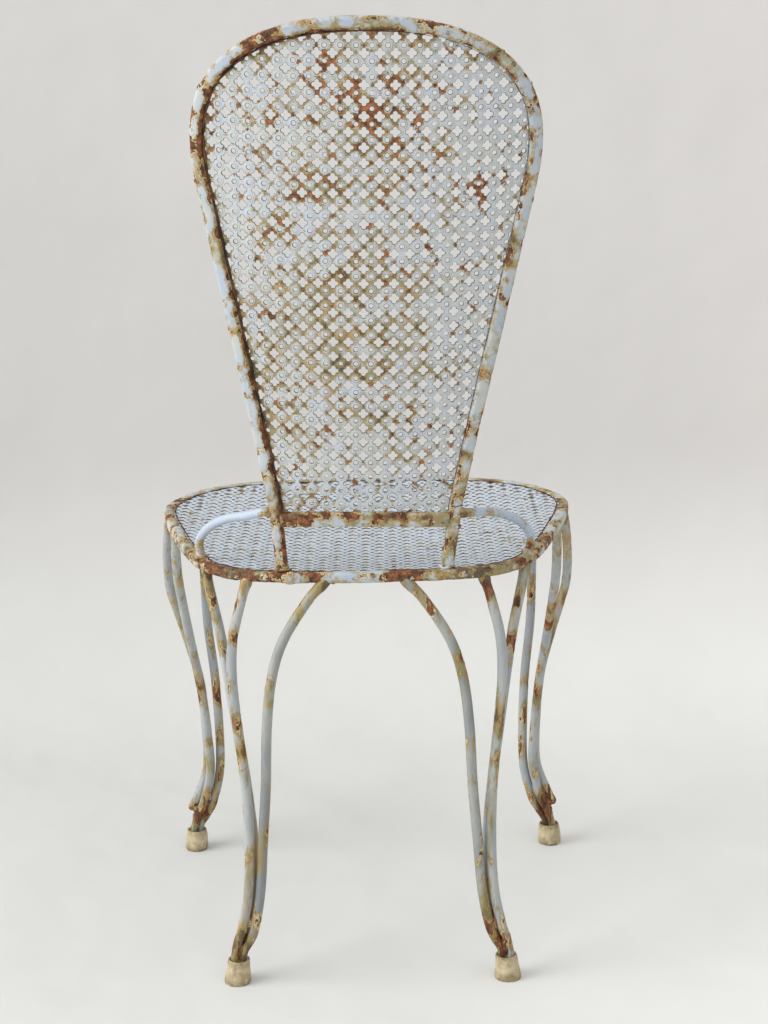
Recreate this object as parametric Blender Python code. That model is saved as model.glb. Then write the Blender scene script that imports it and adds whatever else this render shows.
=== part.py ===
"""Garden chair of pierced sheet iron and bent rods, worn and peeling.

Metres, +Z up. The sitter faces -Y. The origin is on the floor, under the middle of the chair.
The back is drawn in panel coordinates: x across, s up the panel from the seat, n rearward.
The seat is drawn in plan: x across, d forward from the rear edge of its rim.
"""
import math

import bmesh
import bpy
from mathutils import Vector
from mathutils.geometry import delaunay_2d_cdt

MM = 0.001
GAP = 0.3 * MM
SLANTED_GAP = 0.36 * MM

# seat
SEAT_TOP = 430 * MM
SEAT_REAR_Y = 171 * MM
RIM_WIDTH = 12 * MM
RIM_HEIGHT = 11 * MM
RIM_ROUND = 3 * MM
SEAT_SHEET_DROP = 1.6 * MM
SEAT_DISH = 9 * MM
SEAT_MIDDLE_D = 215 * MM
SEAT_SEGMENTS = 64
SEAT_OUTLINE = [
    (0, 0), (70, 4), (118, 14.5), (150, 38), (170, 71), (188, 128), (203, 190), (215, 245),
    (219, 290), (208, 331), (180, 373), (135, 401), (65, 412), (0, 414),
]

# back
BACK_LEAN = math.radians(8.3)
BACK_FOOT_D = 9 * MM
BACK_SWAY = 0.022
BACK_SWAY_RISE = 60 * MM
BACK_BAR_WIDTH = 12.5 * MM
BACK_BAR_REAR = 5 * MM
BACK_BAR_FRONT = 6 * MM
BACK_BAR_ROUND = 3 * MM
BACK_HALF_FOOT = 86 * MM
BACK_HALF_WAIST = 93 * MM
BACK_WAIST_S = 64 * MM
BACK_SIDE_SLOPE = 0.21
BACK_HALF_WIDEST = 162.5 * MM
BACK_WIDEST_S = 412 * MM
BACK_TOP_S = 529 * MM
BACK_TOP_POWER = 2.3
BACK_SEGMENTS = 56
BACK_CURVE = [(0, 1.4), (55, 2.0), (120, 2.9), (270, 2.45), (530, 1.9)]

# crossbar
CROSSBAR_HEIGHT = 15 * MM
CROSSBAR_TOP_S = 58.5 * MM
CROSSBAR_BOW = 3 * MM
CROSSBAR_REAR = 4.5 * MM
CROSSBAR_FRONT = 3 * MM
CROSSBAR_ROUND = 2 * MM

# pierced sheets
SHEET = 1.3 * MM
HOLE_PITCH = 32 * MM
HOLE_TIP = 0.35
HOLE_NOTCH = 0.2
HOLE_MARGIN = 3.5 * MM
BACK_LATTICE = (2 * MM, 272 * MM)
PANEL_CORNER_RISE = 6 * MM

# rods
ROD_RADIUS = 5.5 * MM
ROD_END_RADIUS = 4.0 * MM
ROD_TAPER = (30 * MM, 48 * MM)
ROD_SIDES = 8
ROD_STEP = 28 * MM
LOOP_RADIUS = 4.6 * MM
LOOP_STEP = 11 * MM
LOOP_S = 57 * MM
LOOP_N = -0.5 * MM
LOOP_STUB = 7 * MM
LOOP_END = (162.5, 68)
LOOP_PATH = ((0.34, 51.5), (0.56, 46.5), (0.79, 37.5), (0.94, 27), (1.02, 15))
ROD_TOP = SEAT_TOP - RIM_HEIGHT - GAP
ROD_TOP_DRAWN = 418.7 * MM
CAP_SOCKET_RADIUS = 9.3
CAP_SOCKET_FLOOR = 11.0

# each rod runs from the rim down to the ankle: half width, d, height, in millimetres
# above the taper the heights are drawn for a rim at ROD_TOP_DRAWN, and stretch with the seat's height
REAR_CORNER_ROD = [
    (115, 19, None), (121, 18.5, 400), (130.5, 18, 360), (132.5, 17.5, 320), (128.5, 16, 270),
    (122.3, 14.2, 210), (120.4, 12.6, 150), (122.6, 12, 100), (129.9, 12, 60), (134.9, 12.6, 45),
    (138.8, 13.6, 30), (140, 13.9, CAP_SOCKET_FLOOR),
]
REAR_MIDDLE_ROD = [
    (40, 6.5, None), (57, 6.5, 400), (81.5, 7, 360), (93.7, 8, 320), (99.5, 9, 270),
    (102.2, 10, 210), (106.9, 11, 150), (110.8, 12, 100), (117.6, 12, 60), (123, 12.6, 45),
    (130, 13.6, 30), (131.4, 13.9, CAP_SOCKET_FLOOR),
]
REAR_SIDE_ROD = [
    (157.5, 56, None), (153.5, 51.5, 400), (144.4, 41.5, 360), (137.6, 33, 320), (130.6, 28, 270),
    (122.6, 25.8, 210), (117, 23.8, 150), (116.9, 22.4, 100), (123.9, 22.4, 60), (131.5, 23, 40),
]
FRONT_SIDE_ROD = [
    (199.5, 202, None), (201.5, 212, 400), (202.8, 241, 360), (201.3, 271, 320), (197.5, 302, 270),
    (191.2, 330, 210), (186.9, 346, 150), (185.8, 354, 100), (194.9, 358, 60), (201.5, 360.5, 45),
    (208, 363.2, 27), (209.2, 363.6, CAP_SOCKET_FLOOR),
]
FRONT_CORNER_ROD = [
    (213, 297, None), (217.8, 305, 400), (222, 322, 360), (221, 338, 320), (208.5, 350, 270),
    (194.5, 358, 210), (189.5, 360.5, 150), (190.4, 365, 100), (203.4, 365, 64), (211.5, 365.2, 48),
]
FRONT_RAIL_ROD = [
    (184.5, 357.5, None), (185, 359, 400), (185.6, 362, 360), (185, 364.5, 320), (183.4, 365.5, 270),
    (177.3, 364, 210), (174.2, 359, 150), (175.2, 359.6, 100), (184.2, 363.8, 60), (191, 366.3, 45),
    (200.6, 368, 27), (202, 368.3, CAP_SOCKET_FLOOR),
]

# foot caps: outer radius at each height, then the socket
REAR_CAP_PROFILE = [(13.1, 0), (13.6, 2.5), (12.9, 9), (11.8, 17), (11.2, 23.8), (10.8, 25)]
FRONT_CAP_PROFILE = [(12.0, 0), (12.9, 2.5), (13.2, 10), (12.6, 17), (11.5, 22.8), (11.0, 24)]
REAR_CAP_FOOT = (136.8, 13.9)
REAR_CAP_SHIFT = -1.9
FRONT_CAP_FOOT = (206.1, 366.0)
FRONT_CAP_SHIFT = -1.0
CAP_SIDES = 16

COLOURS = {
    "frame": ((0.55, 0.58, 0.60, 1), 0.55, 0.25),
    "sheet": ((0.60, 0.62, 0.65, 1), 0.60, 0.20),
    "rod": ((0.58, 0.61, 0.63, 1), 0.55, 0.20),
    "cap": ((0.68, 0.63, 0.47, 1), 0.80, 0.0),
}


def clear_scene():
    for item in list(bpy.data.objects):
        bpy.data.objects.remove(item, do_unlink=True)


def make_material(name, colour, roughness, metallic):
    material = bpy.data.materials.new(name)
    material.use_nodes = True
    shader = material.node_tree.nodes["Principled BSDF"]
    shader.inputs["Base Color"].default_value = colour
    shader.inputs["Roughness"].default_value = roughness
    shader.inputs["Metallic"].default_value = metallic
    material.diffuse_color = colour
    return material


def add_object(name, points, faces, finish):
    """Make one closed body from points and faces, with outward normals and its own material."""
    mesh = bpy.data.meshes.new(name)
    mesh.from_pydata([tuple(p) for p in points], [], faces)
    shape = bmesh.new()
    shape.from_mesh(mesh)
    bmesh.ops.recalc_face_normals(shape, faces=shape.faces)
    shape.to_mesh(mesh)
    shape.free()
    item = bpy.data.objects.new(name, mesh)
    bpy.context.scene.collection.objects.link(item)
    mesh.materials.append(make_material(name + "_finish", *COLOURS[finish]))
    return item


def smooth_curve(points, step):
    """A Catmull-Rom curve through the points; long spans get more samples, about a step apart."""
    points = [Vector(p) for p in points]
    ends = [points[0] * 2 - points[1]] + points + [points[-1] * 2 - points[-2]]
    line = []
    for i in range(1, len(ends) - 2):
        a, b, c, d = ends[i - 1:i + 3]
        count = max(1, round((c - b).length / step))
        for k in range(count):
            t = k / count
            line.append(0.5 * (2 * b + (c - a) * t + (2 * a - 5 * b + 4 * c - d) * t * t
                               + (3 * b - a - 3 * c + d) * t ** 3))
    line.append(points[-1])
    return line


def resample(line, count):
    """Points at even distances along an open line."""
    lengths = [0.0]
    for a, b in zip(line, line[1:]):
        lengths.append(lengths[-1] + (b - a).length)
    out = []
    j = 0
    for i in range(count + 1):
        target = lengths[-1] * i / count
        while j < len(line) - 2 and lengths[j + 1] < target:
            j += 1
        span = lengths[j + 1] - lengths[j]
        t = 0 if span == 0 else (target - lengths[j]) / span
        out.append(line[j].lerp(line[j + 1], min(max(t, 0), 1)))
    return out


def inward_normals(line, closed):
    """Unit normals on the right of a line that runs anticlockwise seen with its right side inward."""
    out = []
    last = len(line) - 1
    for i, point in enumerate(line):
        before = line[i - 1] if (i > 0 or closed) else point
        after = line[(i + 1) % len(line)] if (i < last or closed) else point
        along = (after - before).normalized()
        out.append(Vector((along.y, -along.x)))
    return out


def bar_profile(width, low, high, chamfer):
    """Corners of a bar's section: distance inward from the outline, then height."""
    return [
        (chamfer, low), (width - chamfer, low), (width, low + chamfer), (width, high - chamfer),
        (width - chamfer, high), (chamfer, high), (0, high - chamfer), (0, low + chamfer),
    ]


def skin(rings, closed):
    """Faces between rings of equal size; an open run gets a face at each end."""
    size = len(rings[0])
    points = [p for ring in rings for p in ring]
    faces = []
    spans = len(rings) if closed else len(rings) - 1
    for i in range(spans):
        j = (i + 1) % len(rings)
        for k in range(size):
            m = (k + 1) % size
            faces.append((i * size + k, i * size + m, j * size + m, j * size + k))
    if not closed:
        faces.append(tuple(range(size)))
        faces.append(tuple((len(rings) - 1) * size + k for k in reversed(range(size))))
    return points, faces


def cut_ring(ring, along, centre, normal):
    """Slide a ring's points along the bar until they lie on a plane."""
    rate = along.dot(normal)
    return [p + along * ((centre - p).dot(normal) / rate) for p in ring]


# the seat's plan

def seat_outline():
    """The rim's outer edge in plan, closed, starting at the middle of the rear."""
    fine = smooth_curve([(x * MM, d * MM, 0) for x, d in SEAT_OUTLINE], 2 * MM)
    half = resample(fine, SEAT_SEGMENTS // 2)
    right = [Vector((-p.x, p.y)) for p in half]
    left = [Vector((p.x, p.y)) for p in reversed(half[1:-1])]
    return right + left


def seat_world(x, d, z):
    return Vector((x, SEAT_REAR_Y - d, z))


def dish_depth(x, d, edge):
    """How far the sheet sinks below its rim: nothing at the edge, most in the middle."""
    point = Vector((x, d - SEAT_MIDDLE_D))
    if point.length < 1e-6:
        return SEAT_DISH
    angle = math.atan2(point.y, point.x)
    reach = edge_reach(edge, angle)
    ratio = min(point.length / reach, 1)
    return SEAT_DISH * (1 - ratio ** 2.4)


def edge_reach(edge, angle):
    """Distance from the seat's middle to the edge in one direction."""
    ray = Vector((math.cos(angle), math.sin(angle)))
    best = 0.2
    for a, b in zip(edge, edge[1:] + edge[:1]):
        p = Vector((a.x, a.y - SEAT_MIDDLE_D))
        q = Vector((b.x, b.y - SEAT_MIDDLE_D))
        side = q - p
        cross = ray.x * side.y - ray.y * side.x
        if abs(cross) < 1e-12:
            continue
        reach = (p.x * side.y - p.y * side.x) / cross
        share = (p.x * ray.y - p.y * ray.x) / cross
        if reach > 0 and -1e-6 <= share <= 1 + 1e-6:
            best = reach
    return best


def make_seat_rim():
    line = seat_outline()
    normals = inward_normals(line, True)
    profile = bar_profile(RIM_WIDTH, -RIM_HEIGHT, 0, RIM_ROUND)
    rings = []
    for point, normal in zip(line, normals):
        ring = []
        for inset, height in profile:
            spot = point + normal * inset
            ring.append(seat_world(spot.x, spot.y, SEAT_TOP + height))
        rings.append(ring)
    add_object("seat_rim", *skin(rings, True), "frame")


# the back's panel

def back_curvature(s):
    """How sharply the back curves across its width, per metre, at height s."""
    spot = s / MM
    for (low, a), (high, b) in zip(BACK_CURVE, BACK_CURVE[1:]):
        if spot <= high:
            return a + (b - a) * max(spot - low, 0) / (high - low)
    return BACK_CURVE[-1][1]


def sway(point):
    """The old chair's back stands slightly askew: it turns sideways about the seat."""
    rise = point.z - SEAT_TOP
    share = min(max(rise / BACK_SWAY_RISE, 0), 1)
    return Vector((point.x - BACK_SWAY * rise, point.y, point.z + BACK_SWAY * point.x * share))


def back_world(x, s, n):
    k = back_curvature(s)
    angle = k * x
    across = math.sin(angle) / k + n * math.sin(angle)
    rear = n * math.cos(angle) - (1 - math.cos(angle)) / k
    up = Vector((0, math.sin(BACK_LEAN), math.cos(BACK_LEAN)))
    rearward = Vector((0, math.cos(BACK_LEAN), -math.sin(BACK_LEAN)))
    foot = Vector((across, SEAT_REAR_Y - BACK_FOOT_D, SEAT_TOP))
    return sway(foot + up * s + rearward * rear)


def back_half(s):
    """Half the back's width at height s, outside its bar."""
    if s <= BACK_WAIST_S:
        return BACK_HALF_FOOT + (BACK_HALF_WAIST - BACK_HALF_FOOT) * s / BACK_WAIST_S
    straight = BACK_HALF_WAIST + BACK_SIDE_SLOPE * (s - BACK_WAIST_S)
    shortfall = BACK_HALF_WAIST + BACK_SIDE_SLOPE * (BACK_WIDEST_S - BACK_WAIST_S) - BACK_HALF_WIDEST
    ease = 2 * shortfall / BACK_SIDE_SLOPE
    if s < BACK_WIDEST_S - ease:
        return straight
    if s < BACK_WIDEST_S:
        return BACK_HALF_WIDEST - BACK_SIDE_SLOPE / (2 * ease) * (BACK_WIDEST_S - s) ** 2
    share = (s - BACK_WIDEST_S) / (BACK_TOP_S - BACK_WIDEST_S)
    return BACK_HALF_WIDEST * (1 - min(share, 1) ** BACK_TOP_POWER) ** (1 / BACK_TOP_POWER)


def back_outline(bottom):
    """The back's outer edge from one foot over the top to the other, evenly spaced."""
    steps = 60
    side = []
    for i in range(steps + 1):
        s = bottom + (BACK_WIDEST_S - bottom) * i / steps
        side.append(Vector((back_half(s), s)))
    for i in range(1, steps + 1):
        turn = math.pi / 2 * i / steps
        x = BACK_HALF_WIDEST * math.cos(turn) ** (2 / BACK_TOP_POWER)
        s = BACK_WIDEST_S + (BACK_TOP_S - BACK_WIDEST_S) * math.sin(turn) ** (2 / BACK_TOP_POWER)
        side.append(Vector((x, s)))
    half = resample(side, BACK_SEGMENTS // 2)
    other = [Vector((-p.x, p.y)) for p in reversed(half[:-1])]
    return [Vector((-p.x, p.y)) for p in half] + [Vector((p.x, p.y)) for p in reversed(half[:-1])]


def make_back_frame():
    line = back_outline(0)
    normals = inward_normals(line, False)
    profile = bar_profile(BACK_BAR_WIDTH, -BACK_BAR_FRONT, BACK_BAR_REAR, BACK_BAR_ROUND)
    rings = []
    for point, normal in zip(line, normals):
        ring = []
        for inset, height in profile:
            spot = point + normal * inset
            ring.append(back_world(spot.x, spot.y, height))
        rings.append(ring)
    up = Vector((0, 0, 1))
    for end, inner in ((0, 1), (-1, -2)):
        middle = sum(rings[end], Vector()) / len(rings[end])
        along = (sum(rings[inner], Vector()) / len(rings[inner]) - middle).normalized()
        rest = Vector((middle.x, middle.y, SEAT_TOP + GAP))
        rings[end] = cut_ring(rings[end], along, rest, up)
    add_object("back_frame", *skin(rings, False), "frame")


def crossbar_shift(x):
    """The crossbar bows up in its middle."""
    reach = BACK_HALF_WAIST - BACK_BAR_WIDTH
    return CROSSBAR_BOW * (1 - (x / reach) ** 2)


def make_crossbar():
    profile = bar_profile(CROSSBAR_HEIGHT, -CROSSBAR_FRONT, CROSSBAR_REAR, CROSSBAR_ROUND)
    rings = []
    count = 8
    for i in range(count + 1):
        share = 2 * i / count - 1
        ring = []
        for drop, height in profile:
            s = CROSSBAR_TOP_S - drop
            reach = back_half(s) - BACK_BAR_WIDTH - SLANTED_GAP
            x = share * reach
            ring.append(back_world(x, s + crossbar_shift(x), height))
        rings.append(ring)
    add_object("back_crossbar", *skin(rings, False), "frame")


# pierced sheets

def cross_hole(x, y):
    """A four-lobed hole: tips on the axes, notches between them."""
    points = []
    for i in range(8):
        reach = HOLE_PITCH * (HOLE_TIP if i % 2 == 0 else HOLE_NOTCH)
        turn = math.pi / 4 * i
        points.append(Vector((x + reach * math.cos(turn), y + reach * math.sin(turn))))
    return points


def inside(point, loop):
    odd = False
    for a, b in zip(loop, loop[1:] + loop[:1]):
        if (a.y > point.y) != (b.y > point.y):
            if point.x < a.x + (b.x - a.x) * (point.y - a.y) / (b.y - a.y):
                odd = not odd
    return odd


def edge_distance(point, loop):
    best = 1.0
    for a, b in zip(loop, loop[1:] + loop[:1]):
        side = b - a
        share = min(max((point - a).dot(side) / side.length_squared, 0), 1)
        best = min(best, (point - a - side * share).length)
    return best


def hole_grid(loop, centre):
    """Crosses on a square grid, where the whole hole keeps clear of the sheet's edge."""
    holes = []
    reach = 12
    for i in range(-reach, reach + 1):
        for j in range(-reach, reach + 1):
            spot = Vector((centre[0] + i * HOLE_PITCH, centre[1] + j * HOLE_PITCH))
            if not inside(spot, loop):
                continue
            if edge_distance(spot, loop) > HOLE_PITCH * HOLE_TIP + HOLE_MARGIN:
                holes.append(cross_hole(spot.x, spot.y))
    return holes


def pierced_sheet(name, loop, holes, place):
    """A sheet with holes; place(x, y, side) puts its two faces in the world."""
    points = []
    edges = []
    for ring in [loop] + holes:
        start = len(points)
        points.extend(ring)
        edges.extend((start + i, start + (i + 1) % len(ring)) for i in range(len(ring)))
    flat, _, faces, _, _, _ = delaunay_2d_cdt(points, edges, [], 1, 1e-7)
    count = len(flat)
    world = [place(p.x, p.y, 0) for p in flat] + [place(p.x, p.y, 1) for p in flat]
    reach = HOLE_PITCH * HOLE_TIP
    spots = [(sum(hole, Vector((0, 0))) / len(hole), hole) for hole in holes]
    skins = []
    borders = {}
    for face in faces:
        a, b, c = face
        middle = (flat[a] + flat[b] + flat[c]) / 3
        if any((middle - centre).length < reach and inside(middle, hole) for centre, hole in spots):
            continue
        skins.append((a, b, c))
        skins.append((c + count, b + count, a + count))
        for p, q in ((a, b), (b, c), (c, a)):
            if (q, p) in borders:
                del borders[(q, p)]
            else:
                borders[(p, q)] = True
    for p, q in borders:
        skins.append((q, p, p + count, q + count))
    add_object(name, world, skins, "sheet")


def make_back_panel():
    line = back_outline(0)
    normals = inward_normals(line, False)
    inner = [p + n * (BACK_BAR_WIDTH + GAP) for p, n in zip(line, normals)]
    sides = [p for p in inner if p.y > CROSSBAR_TOP_S + PANEL_CORNER_RISE]
    bottom = []
    count = 8
    reach = back_half(CROSSBAR_TOP_S) - BACK_BAR_WIDTH - GAP
    for i in range(count + 1):
        x = reach * (1 - 2 * i / count)
        bottom.append(Vector((x, CROSSBAR_TOP_S + crossbar_shift(x) + GAP)))
    loop = sides + bottom
    holes = hole_grid(loop, BACK_LATTICE)

    def place(x, s, side):
        return back_world(x, s, -SHEET * side)

    pierced_sheet("back_panel", loop, holes, place)


def make_seat_panel():
    line = seat_outline()
    normals = inward_normals(line, True)
    loop = [p + n * (RIM_WIDTH + GAP) for p, n in zip(line, normals)]
    holes = hole_grid(loop, (0, SEAT_MIDDLE_D))

    def place(x, d, side):
        drop = SEAT_SHEET_DROP + dish_depth(x, d, loop) + SHEET * side
        return seat_world(x, d, SEAT_TOP - drop)

    pierced_sheet("seat_panel", loop, holes, place)


# bent rods

def rod_rings(line, radius_at, start_cut, end_cut, sides):
    """Rings of a round rod along a line, with no twist between them."""
    rings = []
    side = None
    for i, point in enumerate(line):
        before = line[max(i - 1, 0)]
        after = line[min(i + 1, len(line) - 1)]
        along = (after - before).normalized()
        if side is None:
            side = along.orthogonal().normalized()
        side = (side - along * side.dot(along)).normalized()
        other = along.cross(side)
        radius = radius_at(point)
        ring = []
        for k in range(sides):
            turn = 2 * math.pi * (k + 0.5) / sides
            ring.append(point + side * (radius * math.cos(turn)) + other * (radius * math.sin(turn)))
        if i == 0 and start_cut is not None:
            ring = cut_ring(ring, along, point, start_cut)
        if i == len(line) - 1 and end_cut is not None:
            ring = cut_ring(ring, along, point, end_cut)
        rings.append(ring)
    return rings


def leg_radius(tapers):
    low, high = ROD_TAPER

    def radius_at(point):
        if not tapers:
            return ROD_RADIUS
        share = min(max((point.z - low) / (high - low), 0), 1)
        return ROD_END_RADIUS + (ROD_RADIUS - ROD_END_RADIUS) * share

    return radius_at


def leg_height(height):
    """A drawn height's place in the leg: stretched above the taper, and as drawn from there down."""
    if height is None:
        return ROD_TOP
    if height == CAP_SOCKET_FLOOR:
        return height * MM + GAP
    ankle = ROD_TAPER[1]
    drawn = height * MM
    if drawn <= ankle:
        return drawn
    return ankle + (drawn - ankle) * (ROD_TOP - ankle) / (ROD_TOP_DRAWN - ankle)


def make_leg_rod(name, path, mirror, tapers):
    points = [seat_world(mirror * half * MM, d * MM, leg_height(height)) for half, d, height in path]
    line = smooth_curve(points, ROD_STEP)
    up = Vector((0, 0, 1))
    rings = rod_rings(line, leg_radius(tapers), up, up if tapers else None, ROD_SIDES)
    add_object(name, *skin(rings, False), "rod")


def make_hip_loop(name, mirror):
    """A rod from the outside of an upright, forward and down to the seat rim."""
    edge = mirror * back_half(LOOP_S)
    slope = (BACK_HALF_WAIST - BACK_HALF_FOOT) / BACK_WAIST_S
    root = back_world(edge, LOOP_S, LOOP_N)
    outward = back_world(edge + mirror * MM, LOOP_S - slope * MM, LOOP_N) - root
    outward.normalize()
    start = root + outward * SLANTED_GAP
    end = seat_world(mirror * LOOP_END[0] * MM, LOOP_END[1] * MM, SEAT_TOP + GAP)
    points = [start, start + outward * LOOP_STUB]
    for share, rise in LOOP_PATH:
        spot = start.lerp(end, share)
        points.append(Vector((spot.x, spot.y, SEAT_TOP + rise * MM)))
    points.append(end)
    line = smooth_curve(points, LOOP_STEP)
    rings = rod_rings(line, lambda point: LOOP_RADIUS, outward, Vector((0, 0, 1)), ROD_SIDES)
    add_object(name, *skin(rings, False), "rod")


# foot caps

def make_cap(name, profile, foot, shift, mirror):
    height = profile[-1][1]
    steps = list(profile)
    steps.append((CAP_SOCKET_RADIUS, height))
    steps.append((CAP_SOCKET_RADIUS, CAP_SOCKET_FLOOR))
    rings = []
    for radius, z in steps:
        centre = foot[0] + shift * z / height
        ring = []
        for k in range(CAP_SIDES):
            turn = 2 * math.pi * k / CAP_SIDES
            x = mirror * (centre + radius * math.cos(turn))
            ring.append(seat_world(x * MM, (foot[1] + radius * math.sin(turn)) * MM, z * MM))
        rings.append(ring)
    add_object(name, *skin(rings, False), "cap")


def build():
    clear_scene()
    make_seat_rim()
    make_seat_panel()
    make_back_frame()
    make_crossbar()
    make_back_panel()
    for word, mirror in (("left", 1), ("right", -1)):
        make_hip_loop(word + "_hip_loop", mirror)
        make_leg_rod("rear_" + word + "_corner_rod", REAR_CORNER_ROD, mirror, True)
        make_leg_rod("rear_" + word + "_middle_rod", REAR_MIDDLE_ROD, mirror, True)
        make_leg_rod("rear_" + word + "_side_rod", REAR_SIDE_ROD, mirror, False)
        make_leg_rod("front_" + word + "_side_rod", FRONT_SIDE_ROD, mirror, True)
        make_leg_rod("front_" + word + "_corner_rod", FRONT_CORNER_ROD, mirror, False)
        make_leg_rod("front_" + word + "_rail_rod", FRONT_RAIL_ROD, mirror, True)
        make_cap("rear_" + word + "_foot_cap", REAR_CAP_PROFILE, REAR_CAP_FOOT, REAR_CAP_SHIFT, mirror)
        make_cap("front_" + word + "_foot_cap", FRONT_CAP_PROFILE, FRONT_CAP_FOOT, FRONT_CAP_SHIFT, mirror)


build()
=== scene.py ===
# %% [markdown]
# A garden chair of iron, seen from behind. A pierced sheet fills the tall back and another the seat.
# Each sheet sits in a bar. Four legs of three bent rods carry the seat, and a pale cap sits on each foot.
# Its blue-grey paint peels in layers: cream primer shows at the edge of each chip, and rust in the middle.
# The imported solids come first. Every piece below takes its place from them and stands for one of them.

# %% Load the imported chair
import math

import bmesh
import bpy
import numpy as np
from mathutils import Euler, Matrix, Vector, noise


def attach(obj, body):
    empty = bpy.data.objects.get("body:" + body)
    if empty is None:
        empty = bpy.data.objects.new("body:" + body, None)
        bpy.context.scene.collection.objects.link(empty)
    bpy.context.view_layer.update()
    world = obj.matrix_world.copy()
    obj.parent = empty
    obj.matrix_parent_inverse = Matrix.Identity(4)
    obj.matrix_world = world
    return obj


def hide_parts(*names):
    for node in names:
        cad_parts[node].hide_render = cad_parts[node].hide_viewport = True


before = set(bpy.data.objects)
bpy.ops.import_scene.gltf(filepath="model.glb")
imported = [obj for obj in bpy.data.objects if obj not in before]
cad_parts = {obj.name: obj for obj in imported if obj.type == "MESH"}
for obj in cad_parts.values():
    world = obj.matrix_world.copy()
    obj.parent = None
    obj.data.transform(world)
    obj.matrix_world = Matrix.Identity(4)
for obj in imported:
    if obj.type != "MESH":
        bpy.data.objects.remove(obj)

MM = 0.001
UP = Vector((0, 0, 1))
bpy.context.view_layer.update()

# %% [markdown]
# The camera stands behind the chair at about chest height and looks slightly down.
# A long lens keeps the uprights nearly straight, as in a catalogue picture.

# %% Camera
CAMERA_PLACE = Vector((-0.0193, 2.208, 0.99))
CAMERA_DOWN = math.radians(13.79)
CAMERA_ROLL = math.radians(-1.0)
LENS = 77.34

camera_data = bpy.data.cameras.new("camera")
camera_data.lens = LENS
camera_data.sensor_width = 36
camera = bpy.data.objects.new("camera", camera_data)
camera.location = CAMERA_PLACE
look = Euler((math.radians(90) - CAMERA_DOWN, 0, math.radians(180))).to_matrix()
camera.rotation_euler = (look @ Euler((0, 0, CAMERA_ROLL)).to_matrix()).to_euler()
bpy.context.scene.collection.objects.link(camera)
bpy.context.scene.camera = camera
bpy.context.scene.view_settings.view_transform = "Standard"

# %% [markdown]
# Materials and many shapes are made of nodes, so two small classes keep that short to write.
# A tree adds a node and hands back one of its outputs, and outputs can be added, multiplied and compared.

# %% Node trees
class Output:
    """A node's output. Each operation on it adds one Math node."""

    def __init__(self, tree, socket):
        self.tree = tree
        self.socket = socket

    def other(self, name):
        """Another output of the same node."""
        return Output(self.tree, self.socket.node.outputs[name])

    def __add__(self, value):
        return self.tree.math("ADD", self, value)

    def __sub__(self, value):
        return self.tree.math("SUBTRACT", self, value)

    def __rsub__(self, value):
        return self.tree.math("SUBTRACT", value, self)

    def __mul__(self, value):
        return self.tree.math("MULTIPLY", self, value)

    def __truediv__(self, value):
        return self.tree.math("DIVIDE", self, value)

    def __pow__(self, value):
        return self.tree.math("POWER", self, value)

    def __gt__(self, value):
        return self.tree.math("GREATER_THAN", self, value)

    def __abs__(self):
        return self.tree.math("ABSOLUTE", self)


class Tree:
    """A shader or geometry tree that is being built; a group also has named sockets."""

    def __init__(self, tree, inputs=(), outputs=()):
        self.tree = tree
        for way, sockets in (("INPUT", inputs), ("OUTPUT", outputs)):
            for label, kind, *value in sockets:
                socket = tree.interface.new_socket(label, in_out=way, socket_type="NodeSocket" + kind)
                if value:
                    socket.default_value = value[0]
        if outputs:
            self.start = tree.nodes.new("NodeGroupInput")
            self.end = tree.nodes.new("NodeGroupOutput")

    def join(self, value, socket):
        """Link an output to a socket, or set a plain value on it."""
        if isinstance(value, Output):
            self.tree.links.new(value.socket, socket)
        else:
            socket.default_value = value

    def add(self, kind, inputs=None, out=0, **settings):
        """Add a node, set its properties and its inputs, and return one of its outputs."""
        made = self.tree.nodes.new(kind)
        for key, value in settings.items():
            setattr(made, key, value)
        for key, value in (inputs or {}).items():
            self.join(value, made.inputs[key])
        return Output(self, made.outputs[out])

    def given(self, name):
        """One of the group's own inputs."""
        return Output(self, self.start.outputs[name])

    def give(self, name, value):
        """Send a value to one of the group's own outputs."""
        self.join(value, self.end.inputs[name])

    def math(self, operation, *values):
        return self.add("ShaderNodeMath", dict(enumerate(values)), operation=operation)

    def vector(self, operation, *values):
        return self.add("ShaderNodeVectorMath", dict(enumerate(values)), operation=operation)

    def scale(self, vector, factor):
        return self.add("ShaderNodeVectorMath", {0: vector, "Scale": factor}, operation="SCALE")

    def split(self, vector):
        made = self.add("ShaderNodeSeparateXYZ", {0: vector})
        return [made.other(axis) for axis in "XYZ"]

    def step(self, value, low, high, to_low=0.0, to_high=1.0, shape="LINEAR"):
        """A clamped ramp of a value between two levels."""
        return self.add("ShaderNodeMapRange", {
            "Value": value, "From Min": low, "From Max": high, "To Min": to_low, "To Max": to_high,
        }, interpolation_type=shape)

    def blend(self, factor, first, second, way="MIX"):
        return self.add("ShaderNodeMix", {0: factor, 6: first, 7: second}, 2, data_type="RGBA", blend_type=way)

    def place(self):
        return self.add("ShaderNodeTexCoord", out="Object")

    def attribute(self, name, out="Fac"):
        return self.add("ShaderNodeAttribute", out=out, attribute_name=name)

    def noise(self, place, size, detail=4.0, roughness=0.55, out="Fac"):
        return self.add("ShaderNodeTexNoise", {
            "Vector": place, "Scale": 1 / size, "Detail": detail, "Roughness": roughness}, out)

    def cells(self, place, size):
        """A random value for each Voronoi cell, less its mean."""
        colour = self.add("ShaderNodeTexVoronoi", {"Vector": place, "Scale": 1 / size}, "Color")
        return self.add("ShaderNodeSeparateColor", {0: colour}) - 0.5

    def bump(self, strength, distance, height):
        return self.add("ShaderNodeBump", {
            "Strength": strength, "Distance": distance, "Height": height}, "Normal")


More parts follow.
